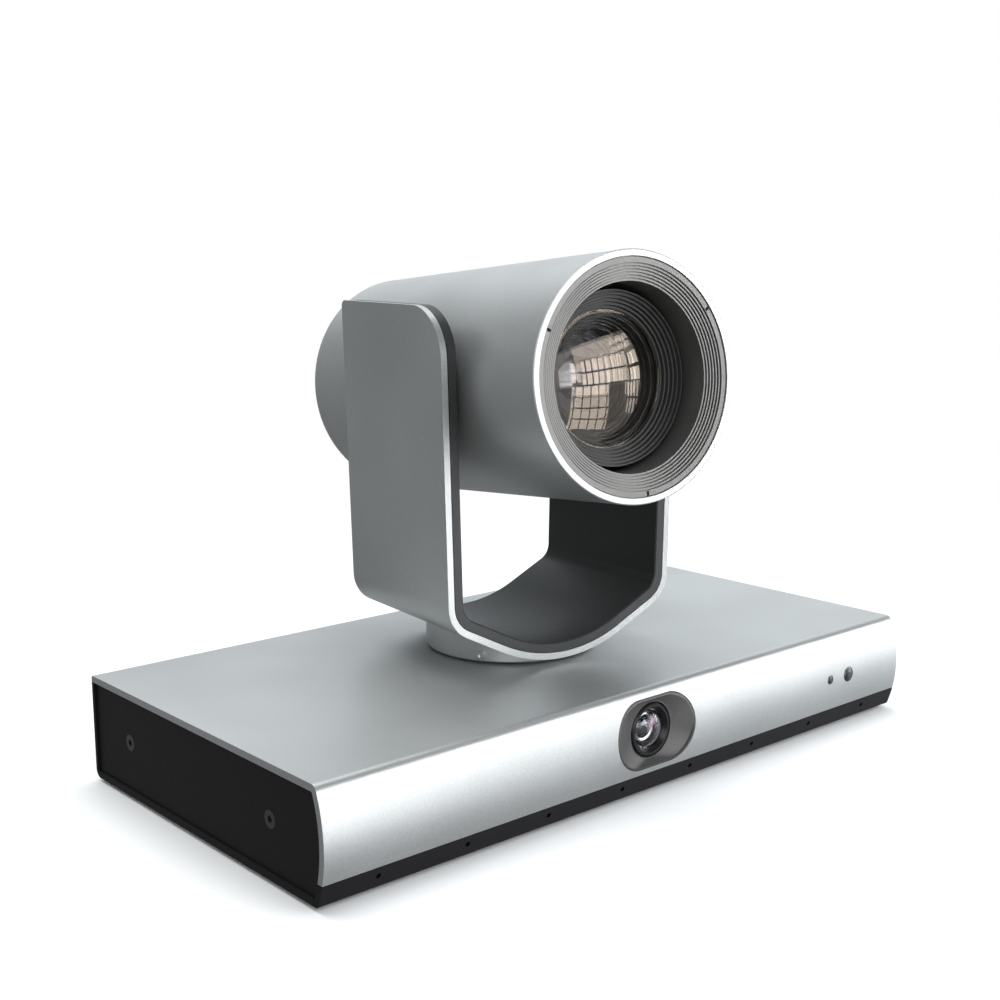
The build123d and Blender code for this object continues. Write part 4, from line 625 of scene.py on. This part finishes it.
def slab(low, high, bevel=0.0):
    """A block between two corners in metres, with its edges rounded."""
    mesh = bmesh.new()
    bmesh.ops.create_cube(mesh, size=1)
    size = Vector(high) - Vector(low)
    bmesh.ops.scale(mesh, vec=size, verts=mesh.verts)
    bmesh.ops.translate(mesh, vec=(Vector(low) + Vector(high)) / 2, verts=mesh.verts)
    if bevel:
        bmesh.ops.bevel(
            mesh, geom=mesh.edges, offset=bevel, segments=3, profile=0.5, affect="EDGES", material=-1,
        )
    return mesh


# plain cards round the front: name, degrees across from the front, degrees above the horizon,
# the width and height of a pane in metres, and the share of the card light, which is none on
# the dark flag that shades the lenses from above
CARDS = (
    ("middle_card", (9, 41), (0.5, 14.5), (0.085, 0.135), 1.0),
    ("narrow_card", (1.5, 8.5), (2, 13.5), (0.07, 0.11), 0.7),
    ("low_card", (2, 27), (-22, 0), (0.105, 0.11), 1.0),
    ("side_card", (44, 74), (0.5, 13), (0.13, 0.22), 1.0),
    ("low_side_card", (41, 70), (-14, 0), (0.05, 0.14), 0.8),
    ("high_card", (33, 52), (15, 21), (0.11, 0.13), 0.8),
    ("dark_flag", (-20, 80), (23, 75), (2.0, 2.0), 0.0),
)


# lamps: name, place and target in metres, size, colour, and the setting that holds the power
LAMPS = (
    ("top_fill", (-0.1, 0.35, 1.3), (0, 0, 0.05), (1.1, 1.1), (1, 1, 1), "top_light"),
    ("front_key", (0.5, -1.3, 0.9), (0, 0, 0.03), (0.9, 0.9), (0.94, 0.96, 1.0), "key_light"),
    ("front_fill", (-0.9, -1.0, 0.5), (0, 0, 0.08), (0.9, 0.9), (1, 1, 1), "fill_light"),
)
# the room's soft light: the side that it is brightest on, and its tones from the dark side
BRIGHT_SIDE = Vector((0.6, -0.2, 0.75))
SOFT_TONES = (
    (0.0, (0.15, 0.15, 0.15)),
    (0.2, (0.22, 0.225, 0.23)),
    (0.5, (0.34, 0.35, 0.36)),
    (0.7, (0.66, 0.71, 0.74)),
    (1.0, (1.25, 1.3, 1.32)),
)
FLOOR_WHITE = (0.16, 0.5)  # radii between which the pale floor turns white, in metres
FLOOR_BOUNCE = (0.24, 0.24, 0.24, 1)


# ---- operators ---------------------------------------------------------------------------
class CAMERA_OT_shells(bpy.types.Operator):
    """Finish the satin metal shells and the textured black panels"""

    bl_idname = "camera_looks.shells"
    bl_label = "Shells and Panels"

    def execute(self, context):
        settings = context.scene.camera_finish
        grain = settings.grain
        silver = grained("satin_silver", settings.silver, 0.75, 0.34, 0.46, grain, 0.012 * MM, 0.10)
        dress(silver, "base_top_shell", "yoke_shell", "yoke_foot", "head_tube")
        black = grained(
            "textured_black", settings.black, 0.0, 0.42, 0.62, 0.4 * MM, 0.06 * MM, 0.35,
            Specular_IOR_Level=0.3,
        )
        dress(black, "base_bottom_tray", "left_side_panel", "right_side_panel")
        dress(black, "rear_panel", "head_rear_cap")
        liner = grained("satin_liner", settings.liner, 0.2, 0.36, 0.5, 0.5 * MM, 0.02 * MM, 0.2)
        dress(liner, "yoke_liner")
        dark = (0.018, 0.018, 0.018)
        rubber = grained("foot_rubber", dark, 0.0, 0.7, 0.9, 0.3 * MM, 0.05 * MM, 0.3)
        dress(rubber, "rubber_feet")
        return {"FINISHED"}


class CAMERA_OT_metalwork(bpy.types.Operator):
    """Finish the screws, plates, nuts, gears, motors and boards"""

    bl_idname = "camera_looks.metalwork"
    bl_label = "Metalwork and Drives"

    def execute(self, context):
        settings = context.scene.camera_finish
        marks = settings.turned_marks
        dark = (0.11, 0.11, 0.112)
        black_screw = grained("blackened_screw", dark, 0.85, 0.22, 0.36, 0.2 * MM, 0.004 * MM)
        dress(black_screw, "side_panel_screws", "cover_screws", "rear_cap_screws")
        bright = brushed("bright_steel", (0.62, 0.62, 0.61), 0.18, 0.34, (1, 1, 6))
        dress(bright, "yoke_foot_screws", "spindle_ring", "guide_rods", "pan_motor_shaft")
        yellow = (0.62, 0.43, 0.16)
        brass = turned_finish(
            "turned_brass", yellow, 1.0, 0.2, 0.36, marks, 0.008 * MM, Finish.place,
        )
        dress(brass, "tripod_nut", "board_standoffs")
        plate = brushed("zinc_plate", (0.5, 0.51, 0.52), 0.28, 0.46, (8, 1, 1))
        dress(plate, "side_brackets", "head_chassis", "pan_frame", "left_trunnion")
        dress(plate, "right_trunnion", "pan_spindle")
        motor = brushed("motor_can", (0.44, 0.44, 0.45), 0.25, 0.42, (1, 1, 10))
        dress(motor, "pan_motor", "tilt_motor")
        cream = (0.78, 0.76, 0.7)
        gear = grained("acetal", cream, 0.0, 0.32, 0.45, 0.3 * MM, 0.006 * MM, 0.05, IOR=1.48)
        dress(gear, "pan_gear", "pan_pinion", "pan_bush", "tilt_gear", "tilt_idler")
        dress(gear, "tilt_pinion", "tilt_bushes")
        dark = (0.02, 0.02, 0.022)
        sink = grained("anodised_fins", dark, 0.7, 0.35, 0.5, 0.3 * MM, 0.006 * MM, 0.2)
        dress(sink, "heat_sink")
        nickel = brushed("bright_nickel", (0.66, 0.64, 0.6), 0.14, 0.28, (1, 8, 1))
        dress(nickel, "hdmi_jack", "sdi_connector")
        dark = (0.016, 0.016, 0.017)
        moulded = grained("moulded_black", dark, 0.0, 0.35, 0.5, 0.25 * MM, 0.01 * MM, 0.25)
        dress(moulded, "microphones", "power_jack", "network_jack", "audio_jack")
        dress(moulded, "pan_home_sensor", "zoom_group", "focus_group")
        level = circuit("green_board", BOARD_GREEN, (0, 0, 0), (0, 0, 0))
        dress(level, "main_board")
        upright = circuit("upright_board", BOARD_GREEN, (0, 0, 0), (math.radians(90), 0, 0))
        dress(upright, "microphone_board", "indicator_board", "panorama_sensor_board")
        leaning = circuit("head_boards", BOARD_GREEN, TILT_CENTRE, HEAD.to_euler())
        dress(leaning, "image_sensor_board", "head_board")
        return {"FINISHED"}


class CAMERA_OT_front_lens(bpy.types.Operator):
    """Build the zoom lens: its coated elements, baffle rings and iris"""

    bl_idname = "camera_looks.front_lens"
    bl_label = "Zoom Lens"

    def execute(self, context):
        lens = context.scene.camera_lens
        finish = context.scene.camera_finish
        marks = finish.turned_marks
        hood = turned_finish("satin_hood", finish.hood, 0.6, 0.3, 0.44, marks, 0.006 * MM)
        dress(hood, "lens_hood")
        dark = (0.05, 0.049, 0.047)
        barrel = turned_finish("matt_barrel", dark, 0.2, 0.45, 0.6, marks, 0.01 * MM)
        dress(barrel, "lens_barrel", "lens_block")
        glass = clear_glass("coated_front_glass", (0.98, 0.96, 0.92), lens.coating, 1.62)
        inner_glass = clear_glass(
            "coated_inner_glass", (0.96, 0.93, 0.88), lens.inner_coating, 1.2,
        )
        # the rear element's near-black colour is painted shade that stands for the unlit inside of the
        # lens
        deep = dark_glass("deep_glass", (0.004, 0.006, 0.012), (0.5, 0.65, 1.0))
        dark = (0.03, 0.03, 0.031)
        baffle = turned_finish("baffle_black", dark, 0.4, 0.3, 0.45, marks, 0.01 * MM)
        blades = brushed("iris_blade", (0.03, 0.03, 0.032), 0.3, 0.45, (3, 1, 1), 0.6)

        back, top = (value / MM for value in spread("front_lens", FORWARD, TILT_CENTRE))
        radius = reach("front_lens", HEAD) / MM
        steps = lens.turn_steps
        thick = lens.glass_edge / MM
        # the front element bulges forwards, and its back is hollow
        edge = back + RIM_HEIGHT
        under = edge - thick
        face = dome_points(radius, edge, top)
        hollow = dome_points(radius - RIM_WALL, under, top - thick)
        outline = face + hollow[::-1] + [(radius, under)]
        make_turned(
            "front_element", outline, HEAD, steps, "head", glass, replaces=["front_lens"],
        )
        # steps that lead down to the second element
        second = lens.second_radius / MM
        shelf = under - RING_GAP
        lip = second - RING_LIP
        inner = radius - RING_WALL
        stairs = staircase(radius - RIM_WALL, shelf, lip, *RING_STEP)
        floor = stairs[-1][1]
        tail = floor - SECOND_DEPTH
        ring = [(radius, back), (radius, shelf)] + stairs + [(lip, floor - LIP_DEPTH)]
        ring += [(second, floor - LIP_DEPTH), (second, tail), (inner, tail), (inner, back)]
        make_turned("baffle_ring", ring, HEAD, steps, "head", baffle)
        # the second element sits in the ring
        width = second - SECOND_CLEAR
        face = dome_points(width, floor - 1.0, floor + 2.4)
        hollow = dome_points(second - 1.2, tail + 0.2, tail + 1.4)
        element = face + hollow[::-1] + [(width, tail + 0.2)]
        make_turned("second_element", element, HEAD, steps, "head", inner_glass)
        # a stepped cone runs from there to the iris
        opening = lens.iris_radius / MM
        narrow = opening + CONE_FLOOR
        stairs = staircase(second - 1.0, tail, narrow, *CONE_STEP)
        floor = stairs[-1][1]
        bottom = floor - CONE_DEPTH
        ring = [(inner, tail)] + stairs + [(narrow, bottom), (inner, bottom)]
        make_turned("iris_cone", ring, HEAD, steps, "head", baffle)
        mesh = iris(opening, narrow - 0.1, floor - 1.0, lens.iris_blades)
        mesh.transform(HEAD)
        make_piece("iris_leaves", mesh, "head", blades, sharp=20)
        # the rear element closes the cone: its coated face is real, and its near-black body is painted
        # shade for the unlit depth of the lens
        width = narrow - 0.2
        deepest = bottom - 0.1
        core = dome_points(width, deepest - 2.4, deepest - 0.2)
        core += [(0, deepest - REAR_DEPTH), (width, deepest - REAR_DEPTH)]
        make_turned("rear_element", core, HEAD, steps, "head", deep)
        return {"FINISHED"}


class CAMERA_OT_panorama(bpy.types.Operator):
    """Build the base's wide lens and finish its window"""

    bl_idname = "camera_looks.panorama"
    bl_label = "Panorama Window"

    def execute(self, context):
        lens = context.scene.camera_lens
        finish = context.scene.camera_finish
        funnel = grained("satin_funnel", finish.funnel, 0.4, 0.4, 0.55, 0.4 * MM, 0.01 * MM, 0.15)
        dress(funnel, "panorama_bezel")
        centre = middle("panorama_lens")
        at_window = Matrix.Translation((centre.x, 0, centre.z)) @ FRONTWARD
        rings = turned_finish(
            "turned_black", (0.014, 0.014, 0.015), 0.3, 0.22, 0.36, finish.turned_marks, 0.006 * MM,
            lambda made: made.place(at_window.translation, FRONTWARD.to_euler()),
        )
        dress(rings, "panorama_lens_barrel")
        glass = clear_glass("wide_glass", (0.97, 0.98, 1.0), (1.0, 0.75, 0.95))
        # the pupil's near-black colour is painted shade for the unlit inside of the wide lens, under a
        # real coated face
        pupil = dark_glass("wide_pupil", (0.006, 0.008, 0.01), (0.75, 1.0, 0.9))
        retainer = brushed("retaining_ring", (0.5, 0.5, 0.5), 0.2, 0.35, (1, 1, 1))
        back, top = (value / MM for value in spread("panorama_lens", Vector((0, -1, 0))))
        radius = reach("panorama_lens", at_window) / MM
        steps = lens.turn_steps
        edge = back + WIDE_RIM_HEIGHT
        inside = radius - WIDE_WALL
        face = dome_points(radius, edge, top)
        hollow = dome_points(inside, edge - 0.4, top - 1.0)
        dome = face + hollow[::-1] + [(inside, edge - 0.9), (radius, edge - 0.9)]
        make_turned(
            "wide_dome", dome, at_window, steps, "base", glass,
            replaces=["panorama_lens"],
        )
        # steps that lead down to the retaining ring
        shelf = edge - 1.0
        narrow = radius - WIDE_SEAT
        stairs = staircase(radius - 0.5, shelf, narrow, *WIDE_STEP)
        low = stairs[-1][1]
        seat = [(radius, back), (radius, shelf)] + stairs + [(narrow, back)]
        make_turned("wide_seat", seat, at_window, steps, "base", rings)
        outside, inside = RETAINER_OUTSIDE, RETAINER_INSIDE
        ring = [(outside, low), (outside, low + 0.35), (outside - 0.4, low + 0.5)]
        ring += [(inside, low + 0.2), (inside, back), (outside, back)]
        make_turned("wide_retainer", ring, at_window, steps, "base", retainer)
        # a near-black dome, painted shade for the depth of the wide lens, fills the retaining ring
        width = inside - 0.05
        eye = dome_points(width, low - 0.6, low + 1.1) + [(0, back), (width, back)]
        make_turned("wide_pupil", eye, at_window, steps, "base", pupil)
        return {"FINISHED"}


class CAMERA_OT_indicators(bpy.types.Operator):
    """Finish the status light and the remote receiver's window"""

    bl_idname = "camera_looks.indicators"
    bl_label = "Indicators"

    def execute(self, context):
        smoke = dark_glass("smoked_window", (0.008, 0.009, 0.008), (0.8, 0.9, 0.85), 0.12, 1.35)
        dress(smoke, "infrared_receiver_window", "status_led")
        return {"FINISHED"}


class CAMERA_OT_sockets(bpy.types.Operator):
    """Add the contacts and link lights of the rear sockets"""

    bl_idname = "camera_looks.sockets"
    bl_label = "Rear Sockets"

    def execute(self, context):
        gold = brushed("gold_contact", (0.83, 0.62, 0.25), 0.16, 0.3, (1, 8, 1))
        centre = middle("network_jack")
        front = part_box("network_jack")[1][1]
        # eight sprung wires lean forwards in the network socket
        across, along, thick = NETWORK_WIRE
        lean = Matrix.Rotation(NETWORK_LEAN, 4, "X")
        wires = bmesh.new()
        for number in range(NETWORK_WIRES):
            wire = slab((-across, -along, 0), (across, along, thick), 0.06 * MM)
            shift = (number - (NETWORK_WIRES - 1) / 2) * NETWORK_PITCH
            place = Vector((centre.x + shift, front - 6.4 * MM, centre.z - 2.4 * MM))
            wire.transform(Matrix.Translation(place) @ lean)
            join(wires, wire)
        make_piece("network_contacts", wires, "base", gold, sharp=60)
        # a link light sits above each side of it
        lights = bmesh.new()
        for side in (-1, 1):
            near, far = sorted((side * 4.2 * MM, side * 7.1 * MM))
            low = (centre.x + near, front - 0.8 * MM, centre.z + 4.3 * MM)
            high = (centre.x + far, front + 0.15 * MM, centre.z + 5.9 * MM)
            join(lights, slab(low, high, 0.15 * MM))
        yellow = (0.35, 0.42, 0.12)
        lens = grained("light_window", yellow, 0.0, 0.12, 0.25, 0.5 * MM, 0.004 * MM, 0.2)
        make_piece("network_lights", lights, "base", lens, sharp=60)
        # two rows of strips on the tongue of the video socket
        centre = middle("hdmi_jack")
        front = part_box("hdmi_jack")[1][1]
        strips = bmesh.new()
        for number in range(HDMI_STRIPS):
            upper = number % 2 == 0
            height = centre.z + (0.38 * MM if upper else -0.45 * MM)
            across = centre.x + (number - (HDMI_STRIPS - 1) / 2) * HDMI_PITCH
            low = (across - 0.16 * MM, front - 8.5 * MM, height)
            high = (across + 0.16 * MM, front - 2.3 * MM, height + 0.07 * MM)
            join(strips, slab(low, high, 0.015 * MM))
        make_piece("hdmi_contacts", strips, "base", gold, sharp=60)
        return {"FINISHED"}


class CAMERA_OT_stage(bpy.types.Operator):
    """Set the floor, the light and the camera"""

    bl_idname = "camera_looks.stage"
    bl_label = "Stage"

    def execute(self, context):
        stage = context.scene.camera_stage
        scene = context.scene
        scene.view_settings.view_transform = "Standard"
        self.camera(scene, stage)
        self.world(scene)
        self.floor(stage)
        for card in CARDS:
            self.card(stage, *card)
        for *lamp, power in LAMPS:
            self.lamp(*lamp, getattr(stage, power))
        return {"FINISHED"}

    def camera(self, scene, stage):
        turn, rise = stage.azimuth, stage.elevation
        right = Vector((math.cos(turn), math.sin(turn), 0))
        back = towards(turn, rise)
        up = back.cross(right)
        level, tipped = math.cos(stage.roll), math.sin(stage.roll)
        columns = (right * level + up * tipped, up * level - right * tipped, back)
        data = bpy.data.cameras.new("view")
        data.sensor_width = 36
        data.lens = stage.lens
        data.clip_start = 0.01
        made = bpy.data.objects.new("view", data)
        facing = Matrix(columns).transposed().to_4x4()
        made.matrix_world = Matrix.Translation(stage.camera_place) @ facing
        scene.collection.objects.link(made)
        scene.camera = made

    def world(self, scene):
        world = bpy.data.worlds.new("studio")
        scene.world = world
        world.use_nodes = True
        tree = world.node_tree
        soft = tree.nodes["Background"]
        direction = tree.nodes.new("ShaderNodeTexCoord").outputs["Generated"]
        side = tree.nodes.new("ShaderNodeVectorMath")
        side.operation = "DOT_PRODUCT"
        side.inputs[1].default_value = BRIGHT_SIDE.normalized()
        tree.links.new(direction, side.inputs[0])
        ramp = tree.nodes.new("ShaderNodeValToRGB")
        stops = ramp.color_ramp.elements
        for place, tone in SOFT_TONES[1:-1]:
            stops.new(place).color = (*tone, 1)
        stops[0].color = (*SOFT_TONES[0][1], 1)
        stops[-1].color = (*SOFT_TONES[-1][1], 1)
        remap = tree.nodes.new("ShaderNodeMath")
        remap.operation = "MULTIPLY_ADD"
        remap.inputs[1].default_value = 0.5
        remap.inputs[2].default_value = 0.5
        tree.links.new(side.outputs["Value"], remap.inputs[0])
        tree.links.new(remap.outputs["Value"], ramp.inputs["Fac"])
        tree.links.new(ramp.outputs["Color"], soft.inputs["Color"])
        soft.inputs["Strength"].default_value = 1.0
        plain = tree.nodes.new("ShaderNodeBackground")
        plain.inputs["Color"].default_value = (1, 1, 1, 1)
        chooser = tree.nodes.new("ShaderNodeMixShader")
        path = tree.nodes.new("ShaderNodeLightPath")
        tree.links.new(path.outputs["Is Camera Ray"], chooser.inputs["Fac"])
        tree.links.new(soft.outputs["Background"], chooser.inputs[1])
        tree.links.new(plain.outputs["Background"], chooser.inputs[2])
        tree.links.new(chooser.outputs["Shader"], tree.nodes["World Output"].inputs["Surface"])

    def floor(self, stage):
        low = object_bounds()[0][2]
        mesh = bmesh.new()
        bmesh.ops.create_grid(mesh, x_segments=2, y_segments=2, size=stage.floor_size / 2)
        bmesh.ops.translate(mesh, vec=(0, 0, low), verts=mesh.verts)
        data = bpy.data.meshes.new("floor")
        mesh.to_mesh(data)
        mesh.free()
        pale = Finish("pale_floor", (0.86, 0.86, 0.86), 0.0, 0.8)
        place = pale.place()
        pale.paint(pale.spread(pale.noise(place, 0.3), 0, 1), pale.shade(0.98), pale.shade(1.02))
        away = pale.spread(pale.radius(place), 0, 1, *FLOOR_WHITE)
        white = pale.node("Emission", {"Color": (1, 1, 1, 1), "Strength": 1.0}).outputs[0]
        lit = pale.node("MixShader", {0: away, 1: pale.shader.outputs["BSDF"], 2: white}).outputs[0]
        # the floor gives back little light, so that the undersides stay in shade
        bounce = pale.node("BsdfDiffuse", {"Color": FLOOR_BOUNCE}).outputs[0]
        seen = pale.node("LightPath").outputs["Is Camera Ray"]
        mixed = pale.node("MixShader", {0: seen, 1: bounce, 2: lit}).outputs[0]
        pale.tree.links.new(mixed, pale.tree.nodes["Material Output"].inputs["Surface"])
        data.materials.append(pale.material)
        made = bpy.data.objects.new("floor", data)
        made.visible_glossy = False
        bpy.context.scene.collection.objects.link(made)
        made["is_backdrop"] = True

    def card(self, stage, name, across, upward, pane, share):
        """A card of panes, which lights the front or shades it, and shows in the lenses."""
        out = towards(*(math.radians(sum(span) / 2) for span in (across, upward)))
        place = TILT_CENTRE + out * stage.card_distance
        angles = [math.radians(span[1] - span[0]) for span in (across, upward)]
        width, height = (2 * stage.card_distance * math.tan(angle / 2) for angle in angles)
        mesh = bmesh.new()
        bmesh.ops.create_grid(mesh, x_segments=1, y_segments=1, size=0.5)
        bmesh.ops.scale(mesh, vec=(width, height, 1), verts=mesh.verts)
        facing = out.to_track_quat("Z", "Y").to_matrix().to_4x4()
        mesh.transform(Matrix.Translation(place) @ facing)
        data = bpy.data.meshes.new(name)
        mesh.to_mesh(data)
        mesh.free()
        panes = Finish(name, (0, 0, 0))
        values = {
            "Vector": panes.place(place, facing.to_euler()),
            "Scale": 1.0,
            "Color1": (0.97, 0.97, 0.98, 1),
            "Color2": (0.86, 0.86, 0.88, 1),
            "Mortar": (0.03, 0.03, 0.03, 1),
            "Mortar Size": pane[1] * 0.07,
            "Brick Width": pane[0],
            "Row Height": pane[1],
        }
        values = {
            "Color": panes.node("TexBrick", values, offset=0.0).outputs["Color"],
            "Strength": stage.card_light * share,
        }
        light = panes.node("Emission", values).outputs[0]
        panes.tree.links.new(light, panes.tree.nodes["Material Output"].inputs["Surface"])
        data.materials.append(panes.material)
        made = bpy.data.objects.new(name, data)
        made.visible_camera = False
        made.visible_shadow = False
        made.visible_diffuse = share > 0
        bpy.context.scene.collection.objects.link(made)
        made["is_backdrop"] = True

    def lamp(self, name, place, target, size, colour, power):
        data = bpy.data.lights.new(name, "AREA")
        data.shape = "RECTANGLE"
        data.size, data.size_y = size
        data.energy = power
        data.color = colour
        made = bpy.data.objects.new(name, data)
        facing = (Vector(target) - Vector(place)).to_track_quat("-Z", "Y")
        made.matrix_world = Matrix.Translation(place) @ facing.to_matrix().to_4x4()
        bpy.context.scene.collection.objects.link(made)


OPERATORS = (
    CAMERA_OT_shells,
    CAMERA_OT_metalwork,
    CAMERA_OT_front_lens,
    CAMERA_OT_panorama,
    CAMERA_OT_indicators,
    CAMERA_OT_sockets,
    CAMERA_OT_stage,
)
SETTINGS = {
    "camera_finish": CameraFinishSettings,
    "camera_lens": CameraLensSettings,
    "camera_stage": CameraStageSettings,
}


class CAMERA_PT_looks(bpy.types.Panel):
    """Settings and steps of the camera's looks"""

    bl_idname = "CAMERA_PT_looks"
    bl_label = "Camera Looks"
    bl_space_type = "VIEW_3D"
    bl_region_type = "UI"
    bl_category = "Camera"

    def draw(self, context):
        for name, group in SETTINGS.items():
            box = self.layout.box()
            for setting in group.__annotations__:
                box.prop(getattr(context.scene, name), setting)
        for operator in OPERATORS:
            self.layout.operator(operator.bl_idname)


def register():
    for item in (*SETTINGS.values(), *OPERATORS, CAMERA_PT_looks):
        bpy.utils.register_class(item)
    for name, group in SETTINGS.items():
        setattr(bpy.types.Scene, name, PointerProperty(type=group))


def unregister():
    for name in SETTINGS:
        delattr(bpy.types.Scene, name)
    for item in (CAMERA_PT_looks, *reversed(OPERATORS), *SETTINGS.values()):
        bpy.utils.unregister_class(item)


def main():
    register()
    for operator in OPERATORS:
        step = operator.bl_idname.split(".")[1]
        getattr(bpy.ops.camera_looks, step)()


if __name__ == "__main__":
    main()
